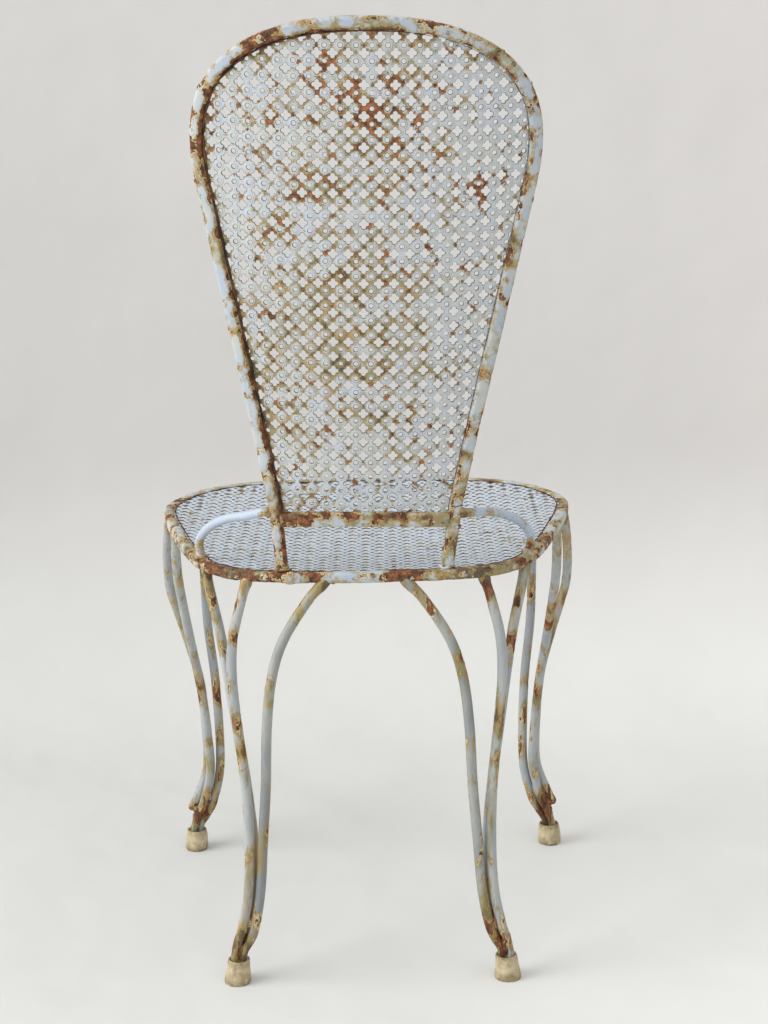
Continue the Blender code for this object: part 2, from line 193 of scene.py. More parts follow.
def new_material(name, roughness=0.5):
    """A material, its tree and the inputs of its Principled shader."""
    material = bpy.data.materials.new(name)
    material.use_nodes = True
    shader = material.node_tree.nodes["Principled BSDF"].inputs
    shader["Roughness"].default_value = roughness
    return material, Tree(material.node_tree), shader


# %% [markdown]
# The stage is one sheet of pale canvas: it lies flat under the chair and sweeps up into a wall.
# One large lamp stands far to the left, so the bars are bright on one side and shade the sheet beside them.
# A soft lamp above and the white world fill in the rest, which keeps the shadows on the floor faint.

# %% Stage and light
SWEEP_START = -0.50
SWEEP_RADIUS = 0.35
STAGE_WIDTH = 5.0
STAGE_FRONT = 3.2
WALL_HEIGHT = 2.6
WORLD_LIGHT = 0.625
# Left and right tones: the canvas is paler towards the right, painted light standing in for light the lamp on
# the left does not give that side.
FLOOR_LEFT = (0.60, 0.605, 0.588, 1)
FLOOR_RIGHT = (0.85, 0.855, 0.833, 1)
WALL_LEFT = (0.53, 0.522, 0.507, 1)
WALL_RIGHT = (0.680, 0.660, 0.642, 1)
CANVAS_CLOUDS = 1 / 2.2
CANVAS_CREASES = 1 / 3.5
# Each lamp: its name, its place, what it shines at, its width and its power.
LAMPS = (("key", (2.3, 0.8, 1.5), (0, 0, 0.5), 2.4, 62), ("top", (-0.3, 0.9, 2.5), (0, 0, 0.4), 2.4, 15))


def make_stage_mesh():
    """The canvas's profile, swept across its width."""
    profile = [(STAGE_FRONT, 0), (SWEEP_START, 0)]
    steps = 12
    for i in range(1, steps + 1):
        turn = math.pi / 2 * i / steps
        y = SWEEP_START - SWEEP_RADIUS * math.sin(turn)
        profile.append((y, SWEEP_RADIUS * (1 - math.cos(turn))))
    profile.append((SWEEP_START - SWEEP_RADIUS, WALL_HEIGHT))
    half = STAGE_WIDTH / 2
    points = [(x, y, z) for y, z in profile for x in (-half, half)]
    faces = [(2 * i, 2 * i + 1, 2 * i + 3, 2 * i + 2) for i in range(len(profile) - 1)]
    mesh = bpy.data.meshes.new("canvas")
    mesh.from_pydata(points, [], faces)
    mesh.flip_normals()
    mesh.shade_smooth()
    return mesh


def make_canvas_material():
    material, tree, shader = new_material("canvas", 0.95)
    shader["Specular IOR Level"].default_value = 0.1
    place = tree.place()
    x, _, z = tree.split(place)
    # Painted light: paler towards the right, darker towards the left.
    across = tree.step(x, 0.55, -0.55)
    tones = [tree.blend(across, left, right)
             for left, right in ((FLOOR_LEFT, FLOOR_RIGHT), (WALL_LEFT, WALL_RIGHT))]
    tone = tree.blend(tree.step(z, -0.04, 0.34, shape="SMOOTHSTEP"), *tones)
    shade = tree.step(tree.noise(place, CANVAS_CLOUDS, 5.0, 0.5), 0.3, 0.7, 0.975, 1.02)
    tree.join(tree.blend(1.0, tone, shade, "MULTIPLY"), shader["Base Color"])
    tree.join(tree.bump(0.25, 0.05, tree.noise(place, CANVAS_CREASES, 3.0, 0.5)), shader["Normal"])
    return material


def add_lamp(name, place, target, size, watts):
    lamp = bpy.data.lights.new(name, "AREA")
    lamp.shape = "DISK"
    lamp.size = size
    lamp.energy = watts
    item = bpy.data.objects.new(name, lamp)
    item.location = place
    item.rotation_euler = (Vector(target) - Vector(place)).to_track_quat("-Z", "Y").to_euler()
    bpy.context.scene.collection.objects.link(item)


stage = bpy.data.objects.new("canvas", make_stage_mesh())
stage.data.materials.append(make_canvas_material())
bpy.context.scene.collection.objects.link(stage)

world = bpy.data.worlds.new("studio")
bpy.context.scene.world = world
world.use_nodes = True
background = world.node_tree.nodes["Background"].inputs
background["Color"].default_value = (1, 1, 1, 1)
background["Strength"].default_value = WORLD_LIGHT
for lamp in LAMPS:
    add_lamp(*lamp)

# %% [markdown]
# Two small functions say where things are. The seat is drawn in plan, and the back on a bent, leaning panel.
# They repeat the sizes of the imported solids, so that a finer piece lies exactly where its solid lies.

# %% The seat's plan
SEAT_TOP = 430 * MM
SEAT_REAR_Y = 171 * MM
SEAT_MIDDLE_D = 215 * MM
RIM_WIDTH = 12 * MM
RIM_HEIGHT = 11 * MM
SEAT_OUTLINE = [
    (0, 0), (70, 4), (118, 14.5), (150, 38), (170, 71), (188, 128), (203, 190), (215, 245),
    (219, 290), (208, 331), (180, 373), (135, 401), (65, 412), (0, 414),
]


def clamp(value, low=0, high=1):
    return min(max(value, low), high)


def smooth_curve(points, step):
    """A Catmull-Rom curve through the points; long spans get more samples, about a step apart."""
    points = [Vector(p) for p in points]
    ends = [points[0] * 2 - points[1]] + points + [points[-1] * 2 - points[-2]]
    line = []
    for i in range(1, len(ends) - 2):
        a, b, c, d = ends[i - 1:i + 3]
        count = max(1, round((c - b).length / step))
        for k in range(count):
            t = k / count
            line.append(0.5 * (2 * b + (c - a) * t + (2 * a - 5 * b + 4 * c - d) * t * t
                               + (3 * b - a - 3 * c + d) * t ** 3))
    line.append(points[-1])
    return line


def resample(line, count):
    """Points at even distances along an open line."""
    lengths = [0.0]
    for a, b in zip(line, line[1:]):
        lengths.append(lengths[-1] + (b - a).length)
    out = []
    j = 0
    for i in range(count + 1):
        target = lengths[-1] * i / count
        while j < len(line) - 2 and lengths[j + 1] < target:
            j += 1
        span = lengths[j + 1] - lengths[j]
        out.append(line[j].lerp(line[j + 1], clamp((target - lengths[j]) / span)))
    return out


def inward_normals(line, closed):
    out = []
    last = len(line) - 1
    for i, point in enumerate(line):
        before = line[i - 1] if (i > 0 or closed) else point
        after = line[(i + 1) % len(line)] if (i < last or closed) else point
        along = (after - before).normalized()
        out.append(Vector((along.y, -along.x)))
    return out


def seat_outline(segments):
    """The rim's outer edge in plan, closed, starting at the middle of the rear."""
    fine = smooth_curve([(x * MM, d * MM, 0) for x, d in SEAT_OUTLINE], 2 * MM)
    half = resample(fine, segments // 2)
    right = [Vector((-p.x, p.y)) for p in half]
    left = [Vector((p.x, p.y)) for p in reversed(half[1:-1])]
    return right + left


def move_in(line, normals, distance):
    return [p + n * distance for p, n in zip(line, normals)]


def seat_world(x, d, z):
    return Vector((x, SEAT_REAR_Y - d, z))


def seat_place(x, d, z):
    """The same from sizes in mm."""
    return seat_world(x * MM, d * MM, z * MM)


# %% The back's panel
BACK_LEAN = math.radians(8.3)
BACK_FOOT_D = 9 * MM
BACK_SWAY = 0.022
SWAY_EASE = 60 * MM
BACK_BAR_WIDTH = 12.5 * MM
BACK_BAR_REAR = 5 * MM
BACK_BAR_FRONT = 6 * MM
BACK_HALF_FOOT = 86 * MM
BACK_HALF_WAIST = 93 * MM
BACK_WAIST_S = 64 * MM
BACK_SIDE_SLOPE = 0.21
BACK_HALF_WIDEST = 162.5 * MM
BACK_WIDEST_S = 412 * MM
BACK_TOP_S = 529 * MM
BACK_TOP_POWER = 2.3
BACK_CURVE = [(0, 1.4), (55, 2.0), (120, 2.9), (270, 2.45), (530, 1.9)]


def back_curvature(s):
    """How sharply the back curves across its width, per metre, at height s."""
    heights, curves = zip(*BACK_CURVE)
    return float(np.interp(s / MM, heights, curves))


def sway(point):
    """The old chair's back stands slightly askew: it turns sideways about the seat."""
    rise = point.z - SEAT_TOP
    share = clamp(rise / SWAY_EASE)
    return Vector((point.x - BACK_SWAY * rise, point.y, point.z + BACK_SWAY * point.x * share))


def back_world(x, s, n):
    """Across, up the panel, and rearward of the sheet's rear face."""
    k = back_curvature(s)
    angle = k * x
    across = math.sin(angle) / k + n * math.sin(angle)
    rear = n * math.cos(angle) - (1 - math.cos(angle)) / k
    up = Vector((0, math.sin(BACK_LEAN), math.cos(BACK_LEAN)))
    rearward = Vector((0, math.cos(BACK_LEAN), -math.sin(BACK_LEAN)))
    foot = Vector((across, SEAT_REAR_Y - BACK_FOOT_D, SEAT_TOP))
    return sway(foot + up * s + rearward * rear)


def back_half(s):
    """Half the back's width at height s below its widest place."""
    if s <= BACK_WAIST_S:
        return BACK_HALF_FOOT + (BACK_HALF_WAIST - BACK_HALF_FOOT) * s / BACK_WAIST_S
    straight = BACK_HALF_WAIST + BACK_SIDE_SLOPE * (s - BACK_WAIST_S)
    shortfall = BACK_HALF_WAIST + BACK_SIDE_SLOPE * (BACK_WIDEST_S - BACK_WAIST_S) - BACK_HALF_WIDEST
    ease = 2 * shortfall / BACK_SIDE_SLOPE
    if s < BACK_WIDEST_S - ease:
        return straight
    return BACK_HALF_WIDEST - BACK_SIDE_SLOPE / (2 * ease) * (BACK_WIDEST_S - s) ** 2


def back_outline(segments):
    """The back's outer edge from one foot over the top to the other, evenly spaced."""
    steps = 120
    side = []
    for i in range(steps + 1):
        s = BACK_WIDEST_S * i / steps
        side.append(Vector((back_half(s), s)))
    for i in range(1, steps + 1):
        turn = math.pi / 2 * i / steps
        x = BACK_HALF_WIDEST * math.cos(turn) ** (2 / BACK_TOP_POWER)
        s = BACK_WIDEST_S + (BACK_TOP_S - BACK_WIDEST_S) * math.sin(turn) ** (2 / BACK_TOP_POWER)
        side.append(Vector((x, s)))
    half = resample(side, segments // 2)
    return [Vector((-p.x, p.y)) for p in half] + [Vector((p.x, p.y)) for p in reversed(half[:-1])]


print("back is", round(2 * BACK_HALF_WIDEST / MM), "mm wide, seat is", round(SEAT_TOP / MM), "mm high")

# %% [markdown]
# Peeling paint is a matter of layers. One number says how far a place has peeled: the wear.
# Where it passes a first level the top coat is gone and cream primer shows, and past a second level bare rust.
# The wear is worked out once for each vertex and kept as an attribute: cloudy noise, plus named places where
# this chair is worn more. The mesh is sunk where paint is missing, so that each chip has a real edge.
# The shader reads the same number and adds the crumbs that are too fine for the mesh.

# %% Wear kept on the mesh
TOP_COAT_GONE = 0.50
PRIMER_GONE = 0.60
WEAR_CLOUD = 0.30
STAIN_CLOUD = 0.42


def cloud(points, size, seed):
    """Cloudy noise between about -1 and 1, with blobs of about this size."""
    shift = Vector((seed * 3.7, seed * 1.9, seed * 5.3))
    return np.array([noise.fractal(Vector(p) / size + shift, 0.9, 2.1, 4) for p in points])


def spots_at(places, spots):
    """What named spots add at each place: a spot has a centre, a reach and an amount."""
    total = np.zeros(len(places))
    for centre, reach, amount in spots:
        away = np.linalg.norm((places - np.array(centre)) / np.array(reach), axis=1)
        total += amount * np.exp(-away ** 2)
    return total


def read_vectors(mesh, field="co"):
    """One row for each vertex: its place, or another field of three numbers."""
    values = np.zeros(len(mesh.vertices) * 3)
    mesh.vertices.foreach_get(field, values)
    return values.reshape(-1, 3)


def move_to(mesh, places):
    mesh.vertices.foreach_set("co", places.ravel())
    mesh.update()


def keep_values(mesh, name, values, kind="FLOAT"):
    """Store an attribute of the vertices."""
    layer = mesh.attributes.new(name, kind, "POINT")
    field = "vector" if kind == "FLOAT_VECTOR" else "value"
    layer.data.foreach_set(field, np.asarray(values, np.float32).ravel())


def weather(mesh, seed, wear, stain, patch, peel, extra_wear=0.0, extra_stain=0.0, upright=1.0):
    """Store wear and stain on a mesh, and sink it where paint has come off. On the back sheet and frame the
    stain also carries painted shade.
    """
    points = read_vectors(mesh)
    normals = read_vectors(mesh, "normal")
    drawn = points * (1, 1, upright)
    worn = wear + WEAR_CLOUD * cloud(drawn, patch, seed) + extra_wear
    keep_values(mesh, "wear", worn)
    keep_values(mesh, "stain", stain + STAIN_CLOUD * cloud(drawn, 2.5 * patch, seed + 11) + extra_stain)
    gone = np.clip((worn - TOP_COAT_GONE) / (PRIMER_GONE - TOP_COAT_GONE), 0, 1)
    rough = np.clip(cloud(points, 3 * MM, seed + 5), -1, 1)
    depth = peel * (0.3 + 0.7 * gone + 0.4 * rough * (0.3 + gone))
    move_to(mesh, points - normals * np.maximum(depth, 0)[:, None])


# %% [markdown]
# The peeling itself is a shader node group, because bars, rods, sheets and flakes all wear the same paint.
# Voronoi cells move the edge of a chip by a random amount for each cell, which gives the angular outline.
# The group gives colour, roughness and height. The Principled shader stays in each material.

# %% The paint group
PAINT = (0.43, 0.50, 0.59, 1)
PRIMER = (0.72, 0.63, 0.42, 1)
PRIMER_DIRTY = (0.50, 0.325, 0.085, 1)
OLIVE = (0.27, 0.21, 0.050, 1)
OCHRE = (0.42, 0.255, 0.052, 1)
GRIME = (0.060, 0.042, 0.022, 1)
FADED = (0.57, 0.575, 0.49, 1)
RUST_BRIGHT = (0.42, 0.16, 0.062, 1)
RUST = (0.19, 0.074, 0.028, 1)
RUST_DARK = (0.060, 0.026, 0.015, 1)


def make_paint_group():
    tree = Tree(bpy.data.node_groups.new("peeling_paint", "ShaderNodeTree"), [
        ("Place", "Vector"), ("Wear", "Float"), ("Stain", "Float"), ("Paint", "Color", PAINT),
        ("Primer", "Color", PRIMER), ("Crumb", "Float", 0.3), ("Primer Band", "Float", 0.1),
        ("Fade", "Float", 0.7), ("Rust Shift", "Float", 0.0),
    ], [("Colour", "Color"), ("Roughness", "Float"), ("Height", "Float")])
    place = tree.given("Place")
    bent = tree.vector("ADD", place, tree.scale(tree.noise(place, 9 * MM, 3.0, 0.5, "Color"), 5 * MM))
    jag = tree.cells(bent, 6 * MM) * 0.17 + tree.cells(bent, 2.4 * MM) * 0.09
    crumb = (tree.noise(place, 2.0 * MM, 7.0, 0.68) - 0.5) * tree.given("Crumb")
    worn = tree.given("Wear") + crumb + jag
    top_gone = tree.step(worn, TOP_COAT_GONE, TOP_COAT_GONE + 0.012)
    primer_gone = tree.step(worn - tree.given("Primer Band"), TOP_COAT_GONE, TOP_COAT_GONE + 0.015)

    soft = (tree.noise(place, 12 * MM, 7.0, 0.65) - 0.5) * 1.3
    dirty = tree.given("Stain") + soft + tree.step(worn, TOP_COAT_GONE - 0.16, TOP_COAT_GONE, 0.0, 0.40)
    fade = tree.step(tree.noise(place, 25 * MM, 6.0, 0.62), 0.38, 0.62) * tree.given("Fade")
    faded = tree.blend(fade, tree.given("Paint"), FADED)
    stain = tree.blend(tree.step(tree.noise(place, 16 * MM, 5.0, 0.6), 0.45, 0.60), OLIVE, OCHRE)
    paint = tree.blend(tree.step(dirty, 0.50, 0.86, 0.0, 0.88), faded, stain)
    primer = tree.blend(tree.step(dirty + crumb, 0.40, 1.1, 0.0, 0.85), tree.given("Primer"), PRIMER_DIRTY)
    colour = tree.blend(top_gone, paint, primer)
    colour = tree.blend(tree.step(dirty + crumb, 0.98, 1.25, 0.0, 0.8), colour, GRIME)
    lip = (tree.step(worn, TOP_COAT_GONE - 0.012, TOP_COAT_GONE)
           - tree.step(worn, TOP_COAT_GONE + 0.014, TOP_COAT_GONE + 0.035))
    colour = tree.blend(lip * 0.45, colour, RUST_DARK)

    patchy = tree.noise(place, 6 * MM, 7.0, 0.65) + tree.given("Rust Shift")
    rust = tree.blend(tree.step(patchy, 0.38, 0.52), RUST_DARK, RUST)
    rust = tree.blend(tree.step(patchy, 0.51, 0.64), rust, RUST_BRIGHT)
    colour = tree.blend(primer_gone, colour, rust)
    speck = tree.step(tree.noise(place, 1.3 * MM, 3.0, 0.6), 0.66, 0.70, 0.0, 0.5)
    tree.give("Colour", tree.blend(speck, colour, RUST_DARK))
    tree.give("Roughness", tree.step(primer_gone, 0, 1, 0.50, 0.88))
    grain = tree.noise(place, 1.8 * MM, 6.0, 0.65) * 0.6 * tree.step(primer_gone, 0, 1, 0.4, 1.0)
    tree.give("Height", 1.0 - top_gone * 0.45 - primer_gone * 0.55 + grain)
    return tree.tree


paint_group = make_paint_group()

# %% [markdown]
# On the sheets a die has punched holes like plump crosses, and small round ones on pressed bosses between them.
# One node group works that pattern out from the sheet's flat coordinates, which the mesh keeps from before
# bending. It finds the bosses, the edge of every hole, where dirt and painted shade go, and the narrow necks
# where paint cracks first.

# %% The lattice group
PITCH = 14 * MM
CROSS_REACH = 4.95 * MM
LOBE_RADIUS = 2.15 * MM
DOT_RADIUS = 2.15 * MM
BOSS_RADIUS = 4.4 * MM
LATTICE_MASKS = ("Boss", "Groove", "Edge", "Neck")


def fold_cell(tree, steps, shift):
    """Distance from the nearest lattice point along each axis, in pitches and without a sign."""
    part = tree.vector("FRACTION", tree.vector("ADD", steps, (shift, shift, 0)))
    return tree.split(tree.vector("ABSOLUTE", tree.vector("SUBTRACT", part, (0.5, 0.5, 0))))[:2]


def length_of(x, y):
    return (x * x + y * y) ** 0.5


def make_lattice_group():
    tree = Tree(bpy.data.node_groups.new("pierced_lattice", "ShaderNodeTree"), [("Flat", "Vector")],
                [(mask, "Float") for mask in LATTICE_MASKS])
    steps = tree.scale(tree.given("Flat"), 1 / PITCH)
    reach = length_of(*fold_cell(tree, steps, 0)) * PITCH
    tree.give("Boss", tree.step(reach, BOSS_RADIUS - 1.0 * MM, BOSS_RADIUS, 1.0, 0.0))
    tree.give("Groove", tree.step(abs(reach - BOSS_RADIUS), 0.1 * MM, 0.4 * MM, 1.0, 0.0))
    x, y = fold_cell(tree, steps, 0.5)
    along = tree.math("MAXIMUM", x, y) - (CROSS_REACH - LOBE_RADIUS) / PITCH
    off = length_of(tree.math("MAXIMUM", along, 0), tree.math("MINIMUM", x, y)) * PITCH
    rims = [tree.step(away, radius + 0.15 * MM, radius + 0.6 * MM, 1.0, 0.0)
            for away, radius in ((off, LOBE_RADIUS), (reach, DOT_RADIUS))]
    tree.give("Edge", tree.math("MAXIMUM", *rims))
    tree.give("Neck", tree.step(abs(x - y), 0.24, 0.44))
    return tree.tree


lattice_group = make_lattice_group()

# %% Materials of the painted iron
# Dark colour for the holes' edges: rust and dirt, and painted shade of the hole walls.
HOLE_DIRT_AND_SHADE = (0.075, 0.062, 0.040, 1)
ROD_PAINT = (0.335, 0.362, 0.395, 1)
# A darker copy of the rod paint: painted shade for the middle rods, which their neighbours keep from the lamp.
SHADED_ROD_PAINT = (0.235, 0.25, 0.26, 1)
LOOP_PAINT = (0.43, 0.51, 0.62, 1)
BACK_PAINT = (0.55, 0.60, 0.665, 1)
SEAT_PAINT = (0.565, 0.645, 0.76, 1)


def make_paint_material(name, paint, crumb, band, relief, fade=0.7, rust_shift=0.0, upright=1.0):
    """Peeling paint for a bar, rod or flake; below 1, upright draws its marks out along the height."""
    material, tree, shader = new_material(name)
    peel = tree.add("ShaderNodeGroup", {
        "Place": tree.vector("MULTIPLY", tree.place(), (1, 1, upright)), "Wear": tree.attribute("wear"),
        "Stain": tree.attribute("stain"), "Paint": paint, "Crumb": crumb, "Primer Band": band,
        "Fade": fade, "Rust Shift": rust_shift,
    }, "Colour", node_tree=paint_group)
    bump = tree.bump(0.75, relief, peel.other("Height"))
    for value, label in ((peel, "Base Color"), (peel.other("Roughness"), "Roughness"), (bump, "Normal")):
        tree.join(value, shader[label])
    return material, tree, shader, peel, bump


def make_sheet_material(name, paint, edge_dirt_and_shade, fade):
    """The same paint, with bosses pressed in, dirt and painted shade at the holes' edges, and cracks at the
    necks.
    """
    material, tree, shader, peel, bump = make_paint_material(name, paint, 0.30, 0.02, 0.4 * MM, fade, 0.055)
    flat = tree.attribute("flat", "Vector")
    lattice = tree.add("ShaderNodeGroup", {"Flat": flat}, node_tree=lattice_group)
    boss, groove, edge, neck = [lattice.other(mask) for mask in LATTICE_MASKS]
    tree.join(tree.attribute("wear") + (neck * 0.12 - boss * 0.04), peel.socket.node.inputs["Wear"])
    tree.join(tree.attribute("stain") + (neck * 0.10 - boss * 0.16), peel.socket.node.inputs["Stain"])
    patchy = tree.noise(tree.place(), 8 * MM, 5.0, 0.6)
    # Dark at the holes' edges: rust and dirt, with painted shade inside the holes' rims; also darker in the
    # groove round each boss.
    lines = edge * edge_dirt_and_shade * tree.step(patchy, 0.36, 0.56, 0.25, 1.0)
    rings = groove * 0.26 * tree.step(patchy, 0.60, 0.44, 0.3, 1.0)
    tree.join(tree.blend(tree.math("MAXIMUM", lines, rings), peel, HOLE_DIRT_AND_SHADE), shader["Base Color"])
    tree.join(tree.bump(0.6, 0.6 * MM, boss), bump.socket.node.inputs["Normal"])
    return material


bar_paint = make_paint_material("bar_paint", PAINT, 0.30, 0.07, 0.6 * MM, fade=0.7, rust_shift=-0.02)[0]
rod_paint = make_paint_material("rod_paint", ROD_PAINT, 0.28, 0.06, 0.5 * MM, fade=0.45, upright=0.30)[0]
shaded_rod_paint = make_paint_material(
    "shaded_rod_paint", SHADED_ROD_PAINT, 0.28, 0.06, 0.5 * MM, fade=0.4, upright=0.30)[0]
loop_paint = make_paint_material("loop_paint", LOOP_PAINT, 0.30, 0.09, 0.6 * MM, fade=0.15)[0]
back_paint = make_sheet_material("back_paint", BACK_PAINT, edge_dirt_and_shade=1.0, fade=0.6)
seat_paint = make_sheet_material("seat_paint", SEAT_PAINT, edge_dirt_and_shade=0.82, fade=0.4)

# %% [markdown]
# A sheet is a flat blank with some twelve hundred holes, so Geometry Nodes punch it.
# Two grids of points carry the crosses and the small round holes between them.
# Filling all the outlines at once gives the pierced blank, and an extrusion gives it a thickness.
# Then each vertex moves to its place on the bent back or the dished seat.

# %% The punching tree
SHEET = 1.3 * MM
LATTICE_COLUMNS = 61
CROSS_POINTS = 24
DOT_POINTS = 10
HOLE_MARGIN = 0.5 * MM


def geometry_tree(name, inputs):
    return Tree(bpy.data.node_groups.new(name, "GeometryNodeTree"),
                [("Geometry", "Geometry")] + inputs, [("Geometry", "Geometry")])


def finish_tree(tree, geometry):
    """Make the instances real, set the material and end the tree."""
    real = tree.add("GeometryNodeRealizeInstances", {0: geometry})
    tree.give("Geometry", tree.add("GeometryNodeSetMaterial", {
        "Geometry": real, "Material": tree.given("Material")}))
    return tree.tree


def merge(tree, parts):
    made = tree.add("GeometryNodeJoinGeometry")
    for part in parts:
        tree.join(part, made.socket.node.inputs[0])
    return made


def run_tree(name, mesh, tree, values):
    """Run a tree on a mesh and return the result as a plain mesh."""
    carrier = bpy.data.objects.new(name, mesh)
    bpy.context.scene.collection.objects.link(carrier)
    modifier = carrier.modifiers.new(name, "NODES")
    modifier.node_group = tree
    for item in tree.interface.items_tree:
        if item.in_out == "INPUT" and item.name in values:
            modifier[item.identifier] = values[item.name]
    graph = bpy.context.evaluated_depsgraph_get()
    result = bpy.data.meshes.new_from_object(carrier.evaluated_get(graph))
    bpy.data.objects.remove(carrier, do_unlink=True)
    return result


def punch_points(tree, columns, outline, plate, reach):
    """Grid points that stay clear of the blank's edge by a hole's reach."""
    side = (columns - 1) * tree.given("Pitch")
    grid = tree.add("GeometryNodeMeshGrid", {
        "Size X": side, "Size Y": side, "Vertices X": columns, "Vertices Y": columns})
    moved = tree.add("GeometryNodeTransform", {"Geometry": grid, "Translation": tree.given("Lattice Centre")})
    above = tree.vector("ADD", tree.add("GeometryNodeInputPosition"), UP)
    inside = tree.add("GeometryNodeRaycast", {
        "Target Geometry": plate, "Source Position": above, "Ray Direction": -UP, "Ray Length": 2.0}, "Is Hit")
    away = tree.add("GeometryNodeProximity", {0: outline}, "Distance", target_element="EDGES")
    clear = tree.add("FunctionNodeCompare", {0: away, 1: reach}, operation="GREATER_THAN")
    good = tree.add("FunctionNodeBooleanMath", {0: inside, 1: clear}, operation="AND")
    bad = tree.add("FunctionNodeBooleanMath", {0: good}, operation="NOT")
    return tree.add("GeometryNodeDeleteGeometry", {"Geometry": moved, "Selection": bad})


def cross_curve(tree):
    """A circle pushed in and out to four round lobes: an arc at each tip, straight flanks between."""
    half = tree.given("Lobe Radius")
    centre = tree.given("Cross Reach") - half
    here = tree.add("GeometryNodeInputPosition")
    x, y, _ = tree.split(tree.vector("ABSOLUTE", here))
    cosine = tree.math("MAXIMUM", x, y)
    sine = tree.math("MINIMUM", x, y)
    rise = centre * sine
    arc = centre * cosine + tree.math("MAXIMUM", half * half - rise * rise, 0) ** 0.5
    flank = half / tree.math("MAXIMUM", sine, 0.05)
    radius = tree.add("ShaderNodeMix", {0: rise > cosine * half, 2: arc, 3: flank})
    circle = tree.add("GeometryNodeCurvePrimitiveCircle", {
        "Resolution": tree.given("Cross Points"), "Radius": 1.0})
    return tree.add("GeometryNodeSetPosition", {"Geometry": circle, "Position": tree.scale(here, radius)})


def make_punch_tree():
    tree = geometry_tree("punched_sheet", [
        ("Pitch", "Float"), ("Lattice Centre", "Vector"), ("Columns", "Int"), ("Cross Reach", "Float"),
        ("Lobe Radius", "Float"), ("Cross Points", "Int"), ("Dot Radius", "Float"), ("Dot Points", "Int"),
        ("Thickness", "Float"), ("Margin", "Float"), ("Material", "Material")])
    outline = tree.given("Geometry")
    edge = tree.add("GeometryNodeMeshToCurve", {0: outline})
    plate = tree.add("GeometryNodeFillCurve", {0: edge})
    columns = tree.given("Columns")
    circle = tree.add("GeometryNodeCurvePrimitiveCircle", {
        "Resolution": tree.given("Dot Points"), "Radius": tree.given("Dot Radius")})
    holes = []
    kinds = ((columns, "Cross Reach", cross_curve(tree)), (columns - 1, "Dot Radius", circle))
    for count, label, shape in kinds:
        points = punch_points(tree, count, outline, plate, tree.given(label) + tree.given("Margin"))
        holes.append(tree.add("GeometryNodeInstanceOnPoints", {"Points": points, "Instance": shape}))
    real = tree.add("GeometryNodeRealizeInstances", {0: merge(tree, [edge] + holes)})
    thickness = tree.given("Thickness")
    low = tree.add("GeometryNodeTransform", {
        "Geometry": tree.add("GeometryNodeFillCurve", {0: real}), "Translation": tree.scale(-UP, thickness)})
    raised = tree.add("GeometryNodeExtrudeMesh", {
        "Mesh": low, "Offset": UP, "Offset Scale": thickness, "Individual": False})
    both = merge(tree, [raised, tree.add("GeometryNodeFlipFaces", {0: low})])
    return finish_tree(tree, tree.add("GeometryNodeMergeByDistance", {0: both, "Distance": 0.01 * MM}))


punch_tree = make_punch_tree()


def outline_mesh(name, loop):
    count = len(loop)
    mesh = bpy.data.meshes.new(name)
    mesh.from_pydata([(p[0], p[1], 0) for p in loop], [(i, (i + 1) % count) for i in range(count)], [])
    return mesh


def punch_sheet(name, loop, centre, material):
    """Punch a flat blank, and keep its flat coordinates from the lattice's centre."""
    mesh = run_tree(name, outline_mesh(name + "_blank", loop), punch_tree, {
        "Pitch": PITCH, "Lattice Centre": (*centre, 0), "Columns": LATTICE_COLUMNS,
        "Cross Reach": CROSS_REACH, "Lobe Radius": LOBE_RADIUS, "Cross Points": CROSS_POINTS,
        "Dot Radius": DOT_RADIUS, "Dot Points": DOT_POINTS, "Thickness": SHEET, "Margin": HOLE_MARGIN,
        "Material": material})
    flat = read_vectors(mesh)
    keep_values(mesh, "flat", flat - (*centre, 0), "FLOAT_VECTOR")
    return mesh, flat


def bend_sheet(mesh, flat, place):
    """Move every vertex of a flat sheet to where place(x, y, height) puts it."""
    move_to(mesh, np.array([place(*p) for p in flat]))


def add_piece(name, mesh, nodes):
    """Make the piece, tie it to the chair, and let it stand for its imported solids."""
    piece = bpy.data.objects.new(name, mesh)
    bpy.context.scene.collection.objects.link(piece)
    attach(piece, "root")
    if nodes:
        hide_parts(*nodes)
    print(name, "has", sum(len(p.vertices) - 2 for p in mesh.polygons), "triangles")


# %% The back's sheet
BACK_TUCK = 10.5 * MM
CROSSBAR_HEIGHT = 15 * MM
CROSSBAR_TOP_S = 58.5 * MM
CROSSBAR_BOW = 3 * MM
BACK_LATTICE = (-2 * MM, 272 * MM)


def crossbar_shift(x):
    reach = BACK_HALF_WAIST - BACK_BAR_WIDTH
    return CROSSBAR_BOW * (1 - (x / reach) ** 2)


frame_line = back_outline(160)
frame_normals = inward_normals(frame_line, False)


def back_blank():
    """The sheet's outline, tucked into the frame and into the top of the crossbar."""
    inner = move_in(frame_line, frame_normals, BACK_BAR_WIDTH - BACK_TUCK)
    sides = [p for p in inner if p.y > CROSSBAR_TOP_S]
    reach = sides[-1].x
    steps = 12
    bottom = [Vector((reach * (1 - 2 * i / steps), 0)) for i in range(steps + 1)]
    for p in bottom:
        p.y = CROSSBAR_TOP_S + crossbar_shift(p.x) - BACK_TUCK
    return [(-p.x, p.y) for p in sides + bottom]


